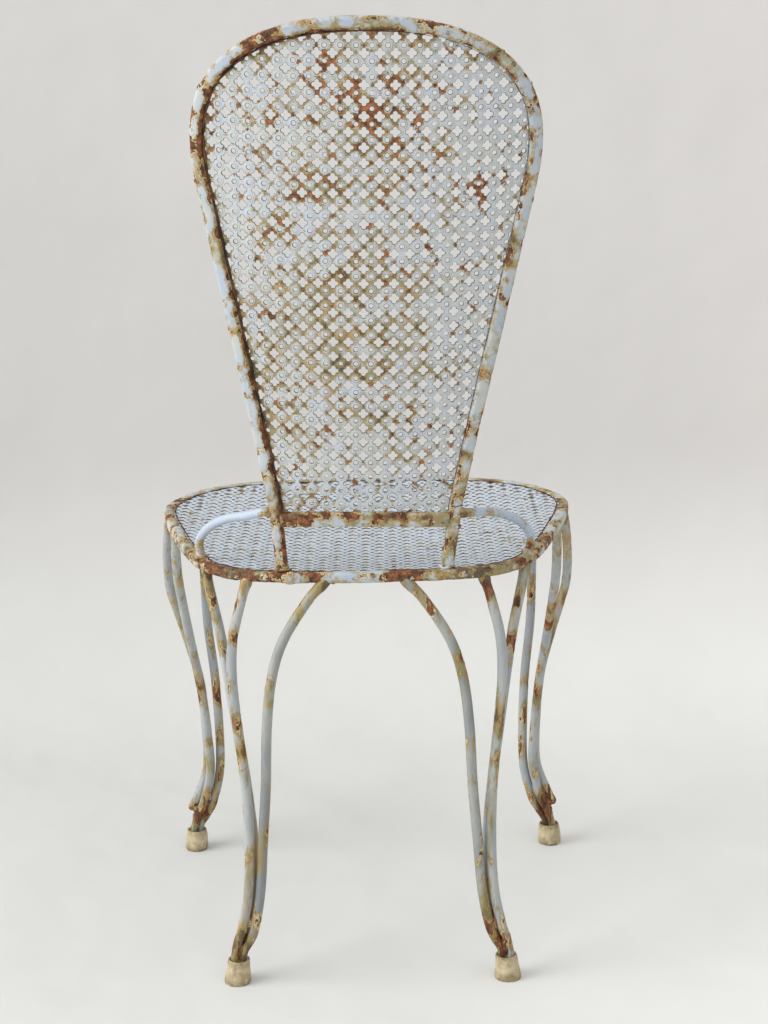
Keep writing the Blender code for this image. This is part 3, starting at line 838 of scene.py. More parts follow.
BACK_RUST = [
    ((34, 490), (20, 13), 0.20), ((18, 466), (22, 15), 0.14), ((-25, 468), (17, 12), 0.19),
    ((-8, 444), (40, 13), 0.14), ((86, 435), (24, 9), 0.16), ((-30, 417), (44, 16), 0.11),
    ((60, 372), (8, 13), 0.16), ((-104, 376), (7, 17), 0.22), ((103, 395), (14, 20), 0.10),
    ((98, 305), (9, 9), 0.12), ((-33, 154), (18, 24), 0.09), ((90, 189), (26, 44), 0.05),
    ((30, 290), (70, 90), 0.03), ((10, 440), (100, 60), 0.045), ((90, 370), (40, 50), 0.04),
    ((-120, 450), (30, 40), -0.08), ((120, 330), (20, 90), -0.06),
]
BACK_STAINS = [
    ((10, 250), (80, 130), 0.32), ((70, 190), (40, 90), 0.16), ((-20, 420), (80, 60), 0.12),
    ((-40, 150), (40, 60), 0.12), ((128, 360), (22, 110), -0.25), ((-125, 380), (36, 160), -0.22),
    ((-80, 120), (24, 80), -0.15), ((0, 90), (90, 16), -0.12),
]

mesh, flat = punch_sheet("back_sheet", back_blank(), BACK_LATTICE, back_paint)
bend_sheet(mesh, flat, lambda x, y, z: back_world(-x, y, z))
panel_places = flat[:, :2] * (-1, 1) / MM
frame_edge = move_in(frame_line, frame_normals, BACK_BAR_WIDTH)
to_frame = np.min([np.hypot(*(panel_places - np.array(p) / MM).T) for p in frame_edge], axis=0)
left_side = np.clip(0.3 + panel_places[:, 0] / 120, 0, 1)
# Painted shadow: the sheet is darker beside the frame, most on the left where the bar shades it, with some dirt
# in the corner too.
frame_shadow_and_dirt = np.exp(-(to_frame / 5.5) ** 2) * (0.2 + 0.9 * left_side)
weather(mesh, 1, wear=0.305, stain=0.38, patch=11 * MM, peel=0.0,
        extra_wear=1.1 * spots_at(panel_places, BACK_RUST),
        extra_stain=spots_at(panel_places, BACK_STAINS) + frame_shadow_and_dirt)
add_piece("back_sheet", mesh, ["back_panel"])

# %% The seat's sheet
SEAT_TUCK = 10 * MM
SEAT_SHEET_DROP = 1.6 * MM
SEAT_DISH = 9 * MM
SEAT_DISH_POWER = 2.4


def seat_reaches(loop):
    """Distance from the seat's middle to its inner edge, for each direction."""
    angles = [math.atan2(p.y - SEAT_MIDDLE_D, p.x) for p in loop]
    reaches = [math.hypot(p.x, p.y - SEAT_MIDDLE_D) for p in loop]
    order = np.argsort(angles)
    return np.array(angles)[order], np.array(reaches)[order]


seat_line = seat_outline(480)
seat_normals = inward_normals(seat_line, True)
seat_angles, seat_edge = seat_reaches(move_in(seat_line, seat_normals, RIM_WIDTH))


def dish_depth(x, d):
    """How far the sheet sinks below its rim: nothing at the edge, most in the middle."""
    away = math.hypot(x, d - SEAT_MIDDLE_D)
    reach = np.interp(math.atan2(d - SEAT_MIDDLE_D, x), seat_angles, seat_edge, period=2 * math.pi)
    return SEAT_DISH * (1 - min(away / reach, 1) ** SEAT_DISH_POWER)


def seat_sheet_place(x, y, z):
    drop = SEAT_SHEET_DROP + dish_depth(x, SEAT_REAR_Y - y)
    return Vector((x, y, SEAT_TOP - drop + z))


tucked = move_in(seat_line, seat_normals, RIM_WIDTH - SEAT_TUCK)[::2]
blank = [(p.x, SEAT_REAR_Y - p.y) for p in tucked]
mesh, flat = punch_sheet("seat_sheet", blank, (0, SEAT_REAR_Y - SEAT_MIDDLE_D), seat_paint)
bend_sheet(mesh, flat, seat_sheet_place)
seat_places = np.column_stack([flat[:, 0], SEAT_REAR_Y - flat[:, 1]]) / MM
SEAT_STAINS = [((-110, 120), (60, 90), 0.12), ((0, 40), (110, 30), 0.08), ((-160, 90), (30, 60), 0.15)]
weather(mesh, 2, wear=0.235, stain=0.20, patch=16 * MM, peel=0.0,
        extra_stain=spots_at(seat_places, SEAT_STAINS))
add_piece("seat_sheet", mesh, ["seat_panel"])

# %% [markdown]
# The rim, the back frame and the crossbar are flat bars with soft edges.
# Each is a rounded section carried along its line in small steps, fine enough for chips to have real edges.

# %% Bars
BAR_ROUND = 3 * MM
BAR_STEP = 2 * MM
EDGE_REACH = 4 * MM
PEEL = 0.7 * MM


def soft_section(width, low, high, radius):
    """Corner arcs and straight sides of a bar's section: distance inward, then height."""
    section = []
    corners = [(width - radius, low + radius, -90), (width - radius, high - radius, 0),
               (radius, high - radius, 90), (radius, low + radius, 180)]
    for x, y, start in corners:
        for k in range(4):
            turn = math.radians(start + 30 * k)
            section.append(Vector((x + radius * math.cos(turn), y + radius * math.sin(turn))))
    full = []
    for a, b in zip(section, section[1:] + section[:1]):
        count = max(1, round((b - a).length / BAR_STEP))
        full += [a.lerp(b, i / count) for i in range(count)]
    return full


def skin_mesh(name, rings, closed, material):
    """A closed mesh over rings of equal size, with its faces outward."""
    size = len(rings[0])
    points = [p for ring in rings for p in ring]
    faces = []
    for i in range(len(rings) if closed else len(rings) - 1):
        j = (i + 1) % len(rings)
        for k in range(size):
            m = (k + 1) % size
            faces.append((i * size + k, i * size + m, j * size + m, j * size + k))
    if not closed:
        faces.append(tuple(range(size)))
        faces.append(tuple((len(rings) - 1) * size + k for k in range(size)))
    mesh = bpy.data.meshes.new(name)
    mesh.from_pydata(points, [], faces)
    shape = bmesh.new()
    shape.from_mesh(mesh)
    bmesh.ops.recalc_face_normals(shape, faces=shape.faces)
    shape.to_mesh(mesh)
    shape.free()
    mesh.shade_smooth()
    mesh.materials.append(material)
    return mesh


def make_bar(name, line, normals, closed, size, place):
    """Carry a soft section along a line, and say where on the bar each vertex is.

    That is its place on the drawing in mm, its share of the way in, and its nearness to a sharp edge.
    """
    width, low, high = size
    section = soft_section(width, low, high, BAR_ROUND)
    rings = [[place(p + n * inset.x, inset.y) for inset in section] for p, n in zip(line, normals)]
    corners = [Vector((x, y)) for x in (0, width) for y in (low, high)]
    edges = [max(0.0, 1 - min((p - c).length for c in corners) / EDGE_REACH) for p in section]
    places = np.array([(p.x / MM, p.y / MM) for p in line for _ in section])
    inward = np.tile([p.x for p in section], len(line))
    return skin_mesh(name, rings, closed, bar_paint), places, inward / inward.max(), np.tile(edges, len(line))


RIM_RUST = [
    ((148, 45), (20, 16), 0.23), ((112, 22), (26, 14), 0.26), ((85, 10), (14, 12), 0.18),
    ((70, 4), (9, 6), -0.16), ((49, 8), (15, 10), 0.26), ((5, 0), (26, 12), -0.11),
    ((-37, 4), (21, 14), 0.36), ((-72, 6), (14, 12), -0.06), ((-93, 10), (5, 6), 0.18),
    ((-131, 26), (16, 10), -0.05), ((-155, 48), (8, 8), 0.20), ((-186, 125), (9, 22), 0.16),
    ((-213, 262), (8, 20), 0.16), ((212, 320), (8, 18), 0.14), ((209, 240), (8, 16), 0.10),
    ((-205, 205), (9, 24), -0.14), ((175, 95), (12, 26), 0.05),
]
RIM_STAINS = [
    ((110, 18), (60, 24), 0.45), ((-110, 18), (50, 24), 0.40), ((5, 0), (34, 12), -0.30),
    ((175, 95), (16, 30), 0.20), ((-160, 60), (16, 30), 0.30), ((-190, 140), (14, 40), 0.15),
]
FRAME_RUST = [
    ((157, 408), (8, 10), 0.26), ((151, 440), (9, 8), 0.20), ((142, 462), (8, 7), 0.20),
    ((128, 475), (6, 6), 0.12), ((120, 490), (6, 6), 0.16), ((107, 502), (5, 5), 0.14),
    ((82, 514), (16, 5), 0.20), ((67, 511), (5, 5), 0.20), ((44, 518), (17, 6), 0.20),
    ((-50, 519), (9, 6), 0.16), ((-67, 524), (10, 5), 0.18), ((-87, 509), (6, 9), 0.24),
    ((-119, 496), (12, 8), 0.14), ((-134, 483), (10, 9), 0.15), ((-147, 396), (6, 11), 0.14),
    ((-141, 364), (5, 12), 0.12), ((-141, 310), (6, 9), 0.24), ((-134, 293), (6, 8), 0.20),
    ((85, 79), (7, 12), 0.26), ((76, 15), (9, 16), 0.20), ((-78, 73), (7, 14), 0.14),
    ((-70, 10), (8, 14), 0.18), ((98, 500), (12, 9), -0.05), ((108, 506), (24, 6), 0.17),
    ((90, 509), (14, 5), 0.12), ((-5, 520), (16, 8), -0.06),
    ((135, 300), (14, 60), -0.15), ((-130, 230), (12, 70), -0.14), ((112, 170), (12, 60), -0.08),
    ((81, 45), (16, 36), 0.14), ((-79, 45), (14, 40), 0.11),
]
FRAME_STAINS = [
    ((-7, 525), (26, 10), 0.30), ((-38, 524), (16, 10), 0.25), ((-103, 498), (14, 10), 0.30),
    ((81, 45), (14, 34), 0.35), ((-80, 40), (14, 44), 0.40), ((-90, 110), (12, 40), 0.16),
    ((148, 430), (16, 24), 0.30), ((130, 290), (14, 70), -0.10), ((-150, 400), (12, 60), -0.15),
]

mesh, places, inward, arris = make_bar(
    "seat_rim_bar", seat_line, seat_normals, True, (RIM_WIDTH, -RIM_HEIGHT, 0),
    lambda p, h: seat_world(p.x, p.y, SEAT_TOP + h))
weather(mesh, 3, wear=0.43, stain=0.52, patch=14 * MM, peel=PEEL,
        extra_wear=spots_at(places, RIM_RUST) + 0.08 * arris,
        extra_stain=spots_at(places, RIM_STAINS) + 0.10 * inward)
add_piece("seat_rim_bar", mesh, ["seat_rim"])

back_line = back_outline(520)
back_normals = inward_normals(back_line, False)
mesh, places, inward, arris = make_bar(
    "back_frame_bar", back_line, back_normals, False, (BACK_BAR_WIDTH, -BACK_BAR_FRONT, BACK_BAR_REAR),
    lambda p, h: back_world(p.x, p.y, h))
left_side = np.clip(0.5 + places[:, 0] / 60, 0, 1)
# Darker along the bar's inner edge, most on the left: rust, with painted shade on the inner side that faces
# away from the lamp.
inner_rust_and_shade = np.clip(inward * 2.2 - 1.2, 0, 1) * (0.06 + 0.17 * left_side)
weather(mesh, 4, wear=0.365, stain=0.37, patch=14 * MM, peel=PEEL,
        extra_wear=spots_at(places, FRAME_RUST) + 0.18 * arris + inner_rust_and_shade,
        extra_stain=spots_at(places, FRAME_STAINS) + 0.6 * inner_rust_and_shade)
add_piece("back_frame_bar", mesh, ["back_frame"])

# %% Crossbar
CROSSBAR_REAR = 4.5 * MM
CROSSBAR_FRONT = 3 * MM
CROSSBAR_ROUND = 2 * MM


def crossbar_rings():
    section = soft_section(CROSSBAR_HEIGHT, -CROSSBAR_FRONT, CROSSBAR_REAR, CROSSBAR_ROUND)
    count = 80
    rings = []
    places = []
    for i in range(count + 1):
        share = 2 * i / count - 1
        ring = []
        for inset in section:
            s = CROSSBAR_TOP_S - inset.x
            x = share * (back_half(s) - BACK_BAR_WIDTH + 1 * MM)
            ring.append(back_world(x, s + crossbar_shift(x), inset.y))
            places.append((x / MM, inset.x / CROSSBAR_HEIGHT))
        rings.append(ring)
    return rings, np.array(places)


CROSSBAR_RUST = [
    ((60, 0.4), (15, 0.5), 0.24), ((38, 0.5), (9, 0.4), 0.12), ((12, 0.4), (12, 0.4), 0.14),
    ((-30, 0.2), (16, 0.3), 0.20), ((-61, 0.3), (10, 0.4), 0.08), ((-75, 0.4), (10, 0.5), -0.10),
]
rings, places = crossbar_rings()
mesh = skin_mesh("crossbar", rings, False, bar_paint)
low_edge = np.clip(places[:, 1] * 3 - 2, 0, 1)
olive_half = np.clip(0.5 - places[:, 0] / 60, 0, 1)
weather(mesh, 5, wear=0.50, stain=0.52, patch=12 * MM, peel=PEEL,
        extra_wear=spots_at(places, CROSSBAR_RUST) - 0.09 * olive_half + 0.02 * low_edge,
        extra_stain=0.25 * olive_half - 0.15 * low_edge)
add_piece("crossbar", mesh, ["back_crossbar"])

# %% [markdown]
# Every leg rod and hip loop is a path with a round section, so one Geometry Nodes tree sweeps them all.
# The line's points carry the rod's radius, because the rods thin down where they enter a cap.

# %% The rod tree
ROD_RADIUS = 5.25 * MM
ROD_END_RADIUS = 4.0 * MM
ROD_TAPER = (30 * MM, 48 * MM)
WELD_DEPTH = 4 * MM
WELD_SWELL = 1.0 * MM
WELD_FALL = 4.5 * MM
ROD_SIDES = 20
ROD_STEP = 3 * MM
ROD_TOP = SEAT_TOP - RIM_HEIGHT
CAP_SOCKET_FLOOR = 11.0
LOOP_RADIUS = 4.6 * MM
LOOP_S = 57 * MM
LOOP_N = -0.5 * MM
LOOP_END = (162.5, 68)
LOOP_PATH = ((0.34, 481.5), (0.56, 476.5), (0.79, 467.5), (0.94, 457), (1.02, 445))

REAR_CORNER_ROD = [
    (115, 19, None), (121, 18.5, 400), (130.5, 18, 360), (132.5, 17.5, 320), (128.5, 16, 270),
    (122.3, 14.2, 210), (120.4, 12.6, 150), (122.6, 12, 100), (129.9, 12, 60), (134.9, 12.6, 45),
    (138.8, 13.6, 30), (140, 13.9, CAP_SOCKET_FLOOR),
]
REAR_MIDDLE_ROD = [
    (40, 6.5, None), (57, 6.5, 400), (81.5, 7, 360), (93.7, 8, 320), (99.5, 9, 270),
    (102.2, 10, 210), (106.9, 11, 150), (110.8, 12, 100), (117.6, 12, 60), (123, 12.6, 45),
    (130, 13.6, 30), (131.4, 13.9, CAP_SOCKET_FLOOR),
]
REAR_SIDE_ROD = [
    (157.5, 56, None), (153.5, 51.5, 400), (144.4, 41.5, 360), (137.6, 33, 320), (130.6, 28, 270),
    (122.6, 25.8, 210), (117, 23.8, 150), (116.9, 22.4, 100), (123.9, 22.4, 60), (131.5, 23, 40),
]
FRONT_SIDE_ROD = [
    (199.5, 202, None), (201.5, 212, 400), (202.8, 241, 360), (201.3, 271, 320), (197.5, 302, 270),
    (191.2, 330, 210), (186.9, 346, 150), (185.8, 354, 100), (194.9, 358, 60), (201.5, 360.5, 45),
    (208, 363.2, 27), (209.2, 363.6, CAP_SOCKET_FLOOR),
]
FRONT_CORNER_ROD = [
    (213, 297, None), (217.8, 305, 400), (222, 322, 360), (221, 338, 320), (208.5, 350, 270),
    (194.5, 358, 210), (189.5, 360.5, 150), (190.4, 365, 100), (203.4, 365, 64), (211.5, 365.2, 48),
]
FRONT_RAIL_ROD = [
    (184.5, 357.5, None), (185, 359, 400), (185.6, 362, 360), (185, 364.5, 320), (183.4, 365.5, 270),
    (177.3, 364, 210), (174.2, 359, 150), (175.2, 359.6, 100), (184.2, 363.8, 60), (191, 366.3, 45),
    (200.6, 368, 27), (202, 368.3, CAP_SOCKET_FLOOR),
]


# Where each rod has lost its paint: height and reach in mm, then how much wear they add.
ROD_RUST = {
    "front_left_side_rod": [(215, 12, 0.16), (182, 12, 0.14), (136, 8, 0.14), (300, 40, -0.06)],
    "front_left_corner_rod": [(251, 20, 0.10), (330, 40, 0.05)],
    "front_left_rail_rod": [(266, 12, 0.17), (200, 22, 0.17), (141, 10, 0.16), (120, 25, 0.08)],
    "rear_left_side_rod": [(400, 14, 0.10), (375, 7, 0.13), (341, 7, 0.13), (250, 40, -0.06)],
    "rear_left_corner_rod": [(400, 8, 0.08), (361, 6, 0.15), (317, 14, 0.12), (276, 9, 0.20), (247, 9, 0.18),
                             (385, 14, -0.12), (180, 50, -0.04)],
    "rear_left_middle_rod": [(405, 12, 0.10), (320, 9, 0.14), (296, 7, 0.10), (220, 60, -0.08)],
    "rear_right_middle_rod": [(394, 22, 0.17), (341, 6, 0.14), (325, 6, 0.14), (276, 26, 0.06)],
    "rear_right_corner_rod": [(405, 12, 0.20), (350, 34, -0.14), (278, 14, 0.20), (234, 8, 0.10)],
    "rear_right_side_rod": [(395, 20, 0.14), (351, 8, 0.12)],
    "front_right_side_rod": [(300, 22, 0.15), (277, 16, 0.12), (96, 14, 0.14)],
    "front_right_corner_rod": [(313, 24, 0.12), (390, 20, 0.08)],
    "front_right_rail_rod": [(298, 22, 0.14), (198, 8, 0.14), (119, 12, 0.14)],
}


def make_rod_tree():
    tree = geometry_tree("bent_rod", [("Sides", "Int"), ("Material", "Material")])
    path = tree.add("GeometryNodeMeshToCurve", {0: tree.given("Geometry")})
    radius = tree.add("GeometryNodeInputNamedAttribute", {"Name": "radius_here"}, data_type="FLOAT")
    section = tree.add("GeometryNodeCurvePrimitiveCircle", {"Resolution": tree.given("Sides"), "Radius": 1.0})
    swept = tree.add("GeometryNodeCurveToMesh", {
        "Curve": path, "Profile Curve": section, "Scale": radius, "Fill Caps": True})
    return finish_tree(tree, tree.add("GeometryNodeSetShadeSmooth", {0: swept}))


rod_tree = make_rod_tree()


def sweep_rod(name, line, radii, material, sides=ROD_SIDES, closed=False):
    """Sweep a round section of changing radius along a line."""
    count = len(line)
    spans = [(i, (i + 1) % count) for i in range(count if closed else count - 1)]
    mesh = bpy.data.meshes.new(name + "_line")
    mesh.from_pydata(line, spans, [])
    keep_values(mesh, "radius_here", radii)
    return run_tree(name, mesh, rod_tree, {"Sides": sides, "Material": material})


def leg_line(path, mirror):
    """The rod's middle line, carried on a little way into the rim, where it is welded."""
    points = []
    for half, d, height in path:
        z = ROD_TOP if height is None else height * MM
        points.append(seat_world(mirror * half * MM, d * MM, z))
    line = smooth_curve(points, ROD_STEP)
    rise = (line[0] - line[1]).normalized()
    return [line[0] + rise * WELD_DEPTH] + line


def leg_radius(point, tapers):
    """Thinner in the cap, and thicker in the weld just below the rim."""
    low, high = ROD_TAPER
    share = clamp((point.z - low) / (high - low)) if tapers else 1
    weld = WELD_SWELL * math.exp(-((ROD_TOP - 1.5 * MM - point.z) / WELD_FALL) ** 2)
    return ROD_END_RADIUS + (ROD_RADIUS - ROD_END_RADIUS) * share + weld


def round_end(line, radii):
    """Round the end of a rod that stops in the open on its neighbours."""
    shares = [min((p - line[-1]).length / r, 1) for p, r in zip(line, radii)]
    return [r * max(0.2, 1 - (1 - share) ** 2) ** 0.5 for share, r in zip(shares, radii)]


def add_leg_rod(name, path, mirror, tapers, seed):
    line = leg_line(path, mirror)
    radii = [leg_radius(p, tapers) for p in line]
    # Painted shade: the middle rods take the darker copy of the rod paint.
    material = shaded_rod_paint if "middle" in name else rod_paint
    mesh = sweep_rod(name, line, radii if tapers else round_end(line, radii), material)
    heights = read_vectors(mesh)[:, 2:] / MM
    spots = spots_at(heights, [((z,), (reach,), amount) for z, reach, amount in ROD_RUST.get(name, [])])
    weld = np.exp(-((heights[:, 0] - ROD_TOP / MM) / 12) ** 2)
    ankle = np.exp(-((heights[:, 0] - 44) / 24) ** 2)
    weather(mesh, seed, wear=0.345, stain=0.45, patch=12 * MM, peel=0.55 * MM,
            extra_wear=spots + 0.10 * weld + 0.26 * ankle,
            extra_stain=1.2 * spots + 0.35 * weld + 0.22 * ankle, upright=0.38)
    add_piece(name.replace("_rod", "_bar"), mesh, [name])


def loop_line(mirror):
    """A rod from the outside of an upright, forward and down to the seat rim."""
    edge = mirror * back_half(LOOP_S)
    slope = (BACK_HALF_WAIST - BACK_HALF_FOOT) / BACK_WAIST_S
    root = back_world(edge, LOOP_S, LOOP_N)
    outward = (back_world(edge + mirror * MM, LOOP_S - slope * MM, LOOP_N) - root).normalized()
    start = root - outward * MM
    end = seat_world(mirror * LOOP_END[0] * MM, LOOP_END[1] * MM, SEAT_TOP - 0.5 * MM)
    points = [start, start + outward * 8 * MM]
    for share, height in LOOP_PATH:
        spot = start.lerp(end, share)
        points.append(Vector((spot.x, spot.y, height * MM)))
    points.append(end)
    return smooth_curve(points, ROD_STEP)


# %% Rods and loops in their places
RODS = [
    ("rear_{}_corner_rod", REAR_CORNER_ROD, True), ("rear_{}_middle_rod", REAR_MIDDLE_ROD, True),
    ("rear_{}_side_rod", REAR_SIDE_ROD, False), ("front_{}_side_rod", FRONT_SIDE_ROD, True),
    ("front_{}_corner_rod", FRONT_CORNER_ROD, False), ("front_{}_rail_rod", FRONT_RAIL_ROD, True),
]
SIDES = (("left", 1), ("right", -1))

for side_number, (word, mirror) in enumerate(SIDES):
    for number, (pattern, path, tapers) in enumerate(RODS):
        add_leg_rod(pattern.format(word), path, mirror, tapers, 20 + 10 * side_number + number)
    line = loop_line(mirror)
    ends = [min((p - line[0]).length, (p - line[-1]).length) for p in line]
    radii = [LOOP_RADIUS + WELD_SWELL * math.exp(-(e / WELD_FALL) ** 2) for e in ends]
    mesh = sweep_rod(word + "_loop", line, radii, loop_paint)
    places = read_vectors(mesh)
    weld = sum(np.exp(-(np.linalg.norm(places - np.array(end), axis=1) / (13 * MM)) ** 2)
               for end in (line[0], line[-1]))
    weather(mesh, 40 + side_number, wear=0.27 + 0.02 * side_number, stain=0.20 + 0.12 * side_number,
            patch=15 * MM, peel=0.5 * MM, extra_wear=0.24 * weld, extra_stain=0.60 * weld)
    add_piece(word + "_hip_bar", mesh, [word + "_hip_loop"])

# %% [markdown]
# A thin, uneven dark seam lies in the corner between each bar and its sheet: rust, and painted shadow where the
# bar shades the sheet.
# The welds at the ankles and at the foot of the back are small lumps, worn like the rods around them.

# %% Rust seams and welds
SEAM_SIDES = 8
SEAM_BLACK = (0.022, 0.018, 0.015, 1)


def make_dirt_material():
    """Nearly black: rust and painted shadow, browner in places."""
    material, tree, shader = new_material("seam_rust_and_shadow", 0.95)
    patchy = tree.step(tree.noise(tree.place(), 14 * MM, 6.0, 0.65), 0.42, 0.64)
    tree.join(tree.blend(patchy, SEAM_BLACK, RUST), shader["Base Color"])
    return material


seam_rust_and_shadow = make_dirt_material()


def add_seam(name, line, radii, closed, seed):
    rough = [max(0.35, 1 + 0.9 * noise.noise(p / (6 * MM) + Vector((seed, 0, 0)))) for p in line]
    mesh = sweep_rod(name, line, [r * k for r, k in zip(radii, rough)], seam_rust_and_shadow, SEAM_SIDES, closed)
    add_piece(name, mesh, [])


line = [seat_world(*p, SEAT_TOP - SEAT_SHEET_DROP)
        for p in move_in(seat_line, seat_normals, RIM_WIDTH + 0.8 * MM)]
add_seam("seat_seam", line, [0.75 * MM] * len(line), True, 51)
line = []
radii = []
for spot in move_in(back_line, back_normals, BACK_BAR_WIDTH + 0.6 * MM):
    if spot.y > CROSSBAR_TOP_S:
        line.append(back_world(spot.x, spot.y, 0.3 * MM))
        # The back's seam is wider on the left, where it paints the bar's shadow on the sheet.
        radii.append((0.75 + 0.55 * clamp(spot.x / (60 * MM), -1, 1)) * MM)
add_seam("back_seam", line, radii, False, 52)


def lump_mesh(name, lumps):
    """Uneven balls in one mesh; each has a centre, three half sizes in mm and a seed."""
    shape = bmesh.new()
    for centre, halves, seed in lumps:
        ball = bmesh.ops.create_icosphere(shape, subdivisions=3, radius=1.0)
        for vertex in ball["verts"]:
            way = vertex.co.normalized()
            swell = 1 + 0.30 * noise.noise(way * 1.6 + Vector((seed, seed, 0)))
            vertex.co = centre + Vector(way[k] * (halves[k] * MM) * swell for k in range(3))
    mesh = bpy.data.meshes.new(name)
    shape.to_mesh(mesh)
    shape.free()
    mesh.shade_smooth()
    mesh.materials.append(bar_paint)
    return mesh


# Weld lumps at the ankles: across, in, height, then their half sizes, in mm.
WELDS = [(124.5, 13.5, 62, 5.5, 5.0, 10), (129, 19, 46, 6.0, 5.0, 8), (190, 361, 68, 6.0, 5.0, 11),
         (203, 363.5, 52, 7.0, 5.0, 8), (134.3, 13.4, 37, 5.2, 4.6, 12), (205, 366, 36, 5.0, 4.6, 11)]
FOOT_WELD = (9, 6.5, 3.5)
LOOP_WELD = (8.5, 7, 5)
CORNER_WELD = (3, 5, 8)
lumps = []
for word, mirror in SIDES:
    for number, (half, d, z, *halves) in enumerate(WELDS):
        lumps.append((seat_place(mirror * half, d, z), halves, number + mirror))
    foot = back_world(mirror * (BACK_HALF_FOOT - BACK_BAR_WIDTH / 2), 1 * MM, 0)
    landing = seat_world(mirror * LOOP_END[0] * MM, LOOP_END[1] * MM, SEAT_TOP)
    corner = back_world(mirror * (BACK_HALF_WAIST - BACK_BAR_WIDTH), CROSSBAR_TOP_S - CROSSBAR_HEIGHT / 2, 0)
    lumps += [(foot, FOOT_WELD, 7 + mirror), (landing, LOOP_WELD, 15 + mirror),
              (corner, CORNER_WELD, 11 + mirror)]
mesh = lump_mesh("welds", lumps)
low_down = np.clip(1.5 - read_vectors(mesh)[:, 2] / (60 * MM), 0, 1)
weather(mesh, 53, wear=0.50, stain=0.70, patch=9 * MM, peel=0.5 * MM, extra_wear=0.15 * low_down)
add_piece("welds", mesh, [])

# Large chips that stand off the rim's rear: across, in, height, then their half sizes, in mm.
CHIPS = [(71, 3.6, 425, 9.5, 1.5, 6.5), (-36, 2.6, 424, 12, 1.4, 4), (96, 9.5, 424.5, 5, 2.4, 3.5),
         (-93, 8.8, 425, 6, 2.2, 3.5), (121, 17.5, 424, 5.5, 2.6, 3)]
DARK_CHIP_X = -36
mesh = lump_mesh("rim_chips", [(seat_place(x, d, z), halves, 30 + number)
                               for number, (x, d, z, *halves) in enumerate(CHIPS)])
dark_chip = np.exp(-((read_vectors(mesh)[:, 0] / MM - DARK_CHIP_X) / 14) ** 2)
weather(mesh, 54, wear=0.54, stain=0.30, patch=12 * MM, peel=0.3 * MM, extra_wear=0.25 * dark_chip)
add_piece("rim_chips", mesh, [])

# A short crack across the right upright: across, up the back, and half its width, in mm.
CRACK = [(82, 66, 0.5), (86, 65, 0.6), (90, 66.5, 0.5), (93.5, 66, 0.4)]
crack = [back_world(-x * MM, s * MM, BACK_BAR_REAR - 0.45 * MM) for x, s, _ in CRACK]
mesh = sweep_rod("crack", crack, [half * MM for _, _, half in CRACK], seam_rust_and_shadow, SEAM_SIDES)
add_piece("crack", mesh, [])

# %% [markdown]
# Where the top coat is just letting go, it curls up in flakes. One Geometry Nodes tree scatters them:
# it picks faces by their wear, sets a small curled chip on each point, and turns and sizes it at random.

# %% Loose flakes
FLAKE_WEAR = (0.43, 0.53)
FLAKE_SIZE = 1.9 * MM
FLAKES_PER_SQUARE_METRE = 9000.0


def pick_random(tree, kind, low, high):
    """A random value for each flake; the first of the three sockets depends on the value's kind."""
    first, out = {"FLOAT_VECTOR": (0, 0), "FLOAT": (2, 1)}[kind]
    return tree.add("FunctionNodeRandomValue", {
        first: low, first + 1: high, "Seed": tree.given("Seed")}, out, data_type=kind)


def make_flake_tree():
    tree = geometry_tree("loose_flakes", [
        ("Density", "Float"), ("Size", "Float"), ("Seed", "Int"), ("Highest", "Float"),
        ("Foremost", "Float"), ("Material", "Material")])
    wear = tree.add("GeometryNodeInputNamedAttribute", {"Name": "wear"}, data_type="FLOAT")
    _, rear, high = tree.split(tree.add("GeometryNodeInputPosition"))
    share = ((wear > FLAKE_WEAR[0]) * tree.math("GREATER_THAN", FLAKE_WEAR[1], wear)
             * (tree.given("Highest") > high) * (rear > tree.given("Foremost")))
    points = tree.add("GeometryNodeDistributePointsOnFaces", {
        "Mesh": tree.given("Geometry"), "Density": share * tree.given("Density"), "Seed": tree.given("Seed")})
    ball = tree.add("GeometryNodeMeshIcoSphere", {"Radius": 1.0, "Subdivisions": 2})
    place = tree.add("GeometryNodeInputPosition")
    ragged = tree.noise(place, 0.9, 3.0) + 0.5
    x, y, z = tree.split(place)
    x, y = x * ragged, y * ragged
    shape = tree.add("ShaderNodeCombineXYZ", {0: x, 1: y, 2: z * 0.10 + x * x * 0.30})
    flake = tree.add("GeometryNodeSetPosition", {"Geometry": ball, "Position": shape})
    laid = tree.add("GeometryNodeInstanceOnPoints", {
        "Points": points, "Instance": flake, "Rotation": points.other("Rotation"),
        "Scale": pick_random(tree, "FLOAT", 0.5, 1.5) * tree.given("Size")})
    turn = pick_random(tree, "FLOAT_VECTOR", (-0.3, -0.3, 0), (0.3, 0.3, 2 * math.pi))
    flakes = tree.add("GeometryNodeRotateInstances", {"Instances": laid, "Rotation": turn})
    for label, low, high in (("wear", 0.30, 0.56), ("stain", 0.1, 0.9)):
        flakes = tree.add("GeometryNodeStoreNamedAttribute", {
            "Geometry": flakes, "Name": label, "Value": pick_random(tree, "FLOAT", low, high),
        }, data_type="FLOAT", domain="INSTANCE")
    return finish_tree(tree, flakes)


flake_tree = make_flake_tree()
# Each bar with flakes, its seed, and how high and how far forward they reach, in metres.
FLAKED_BARS = (("seat_rim_bar", 1, 0.44, 0.0), ("back_frame_bar", 2, 0.93, -1.0), ("crossbar", 3, 0.93, -1.0))
for carrier, seed, highest, foremost in FLAKED_BARS:
    mesh = run_tree(carrier + "_flakes", bpy.data.objects[carrier].data.copy(), flake_tree, {
        "Density": FLAKES_PER_SQUARE_METRE, "Size": FLAKE_SIZE, "Seed": seed,
        "Highest": highest, "Foremost": foremost, "Material": bar_paint})
    add_piece(carrier + "_flakes", mesh, [])

# %% [markdown]
# The caps are old cream rubber or wood, turned grey and brown where they meet the floor.

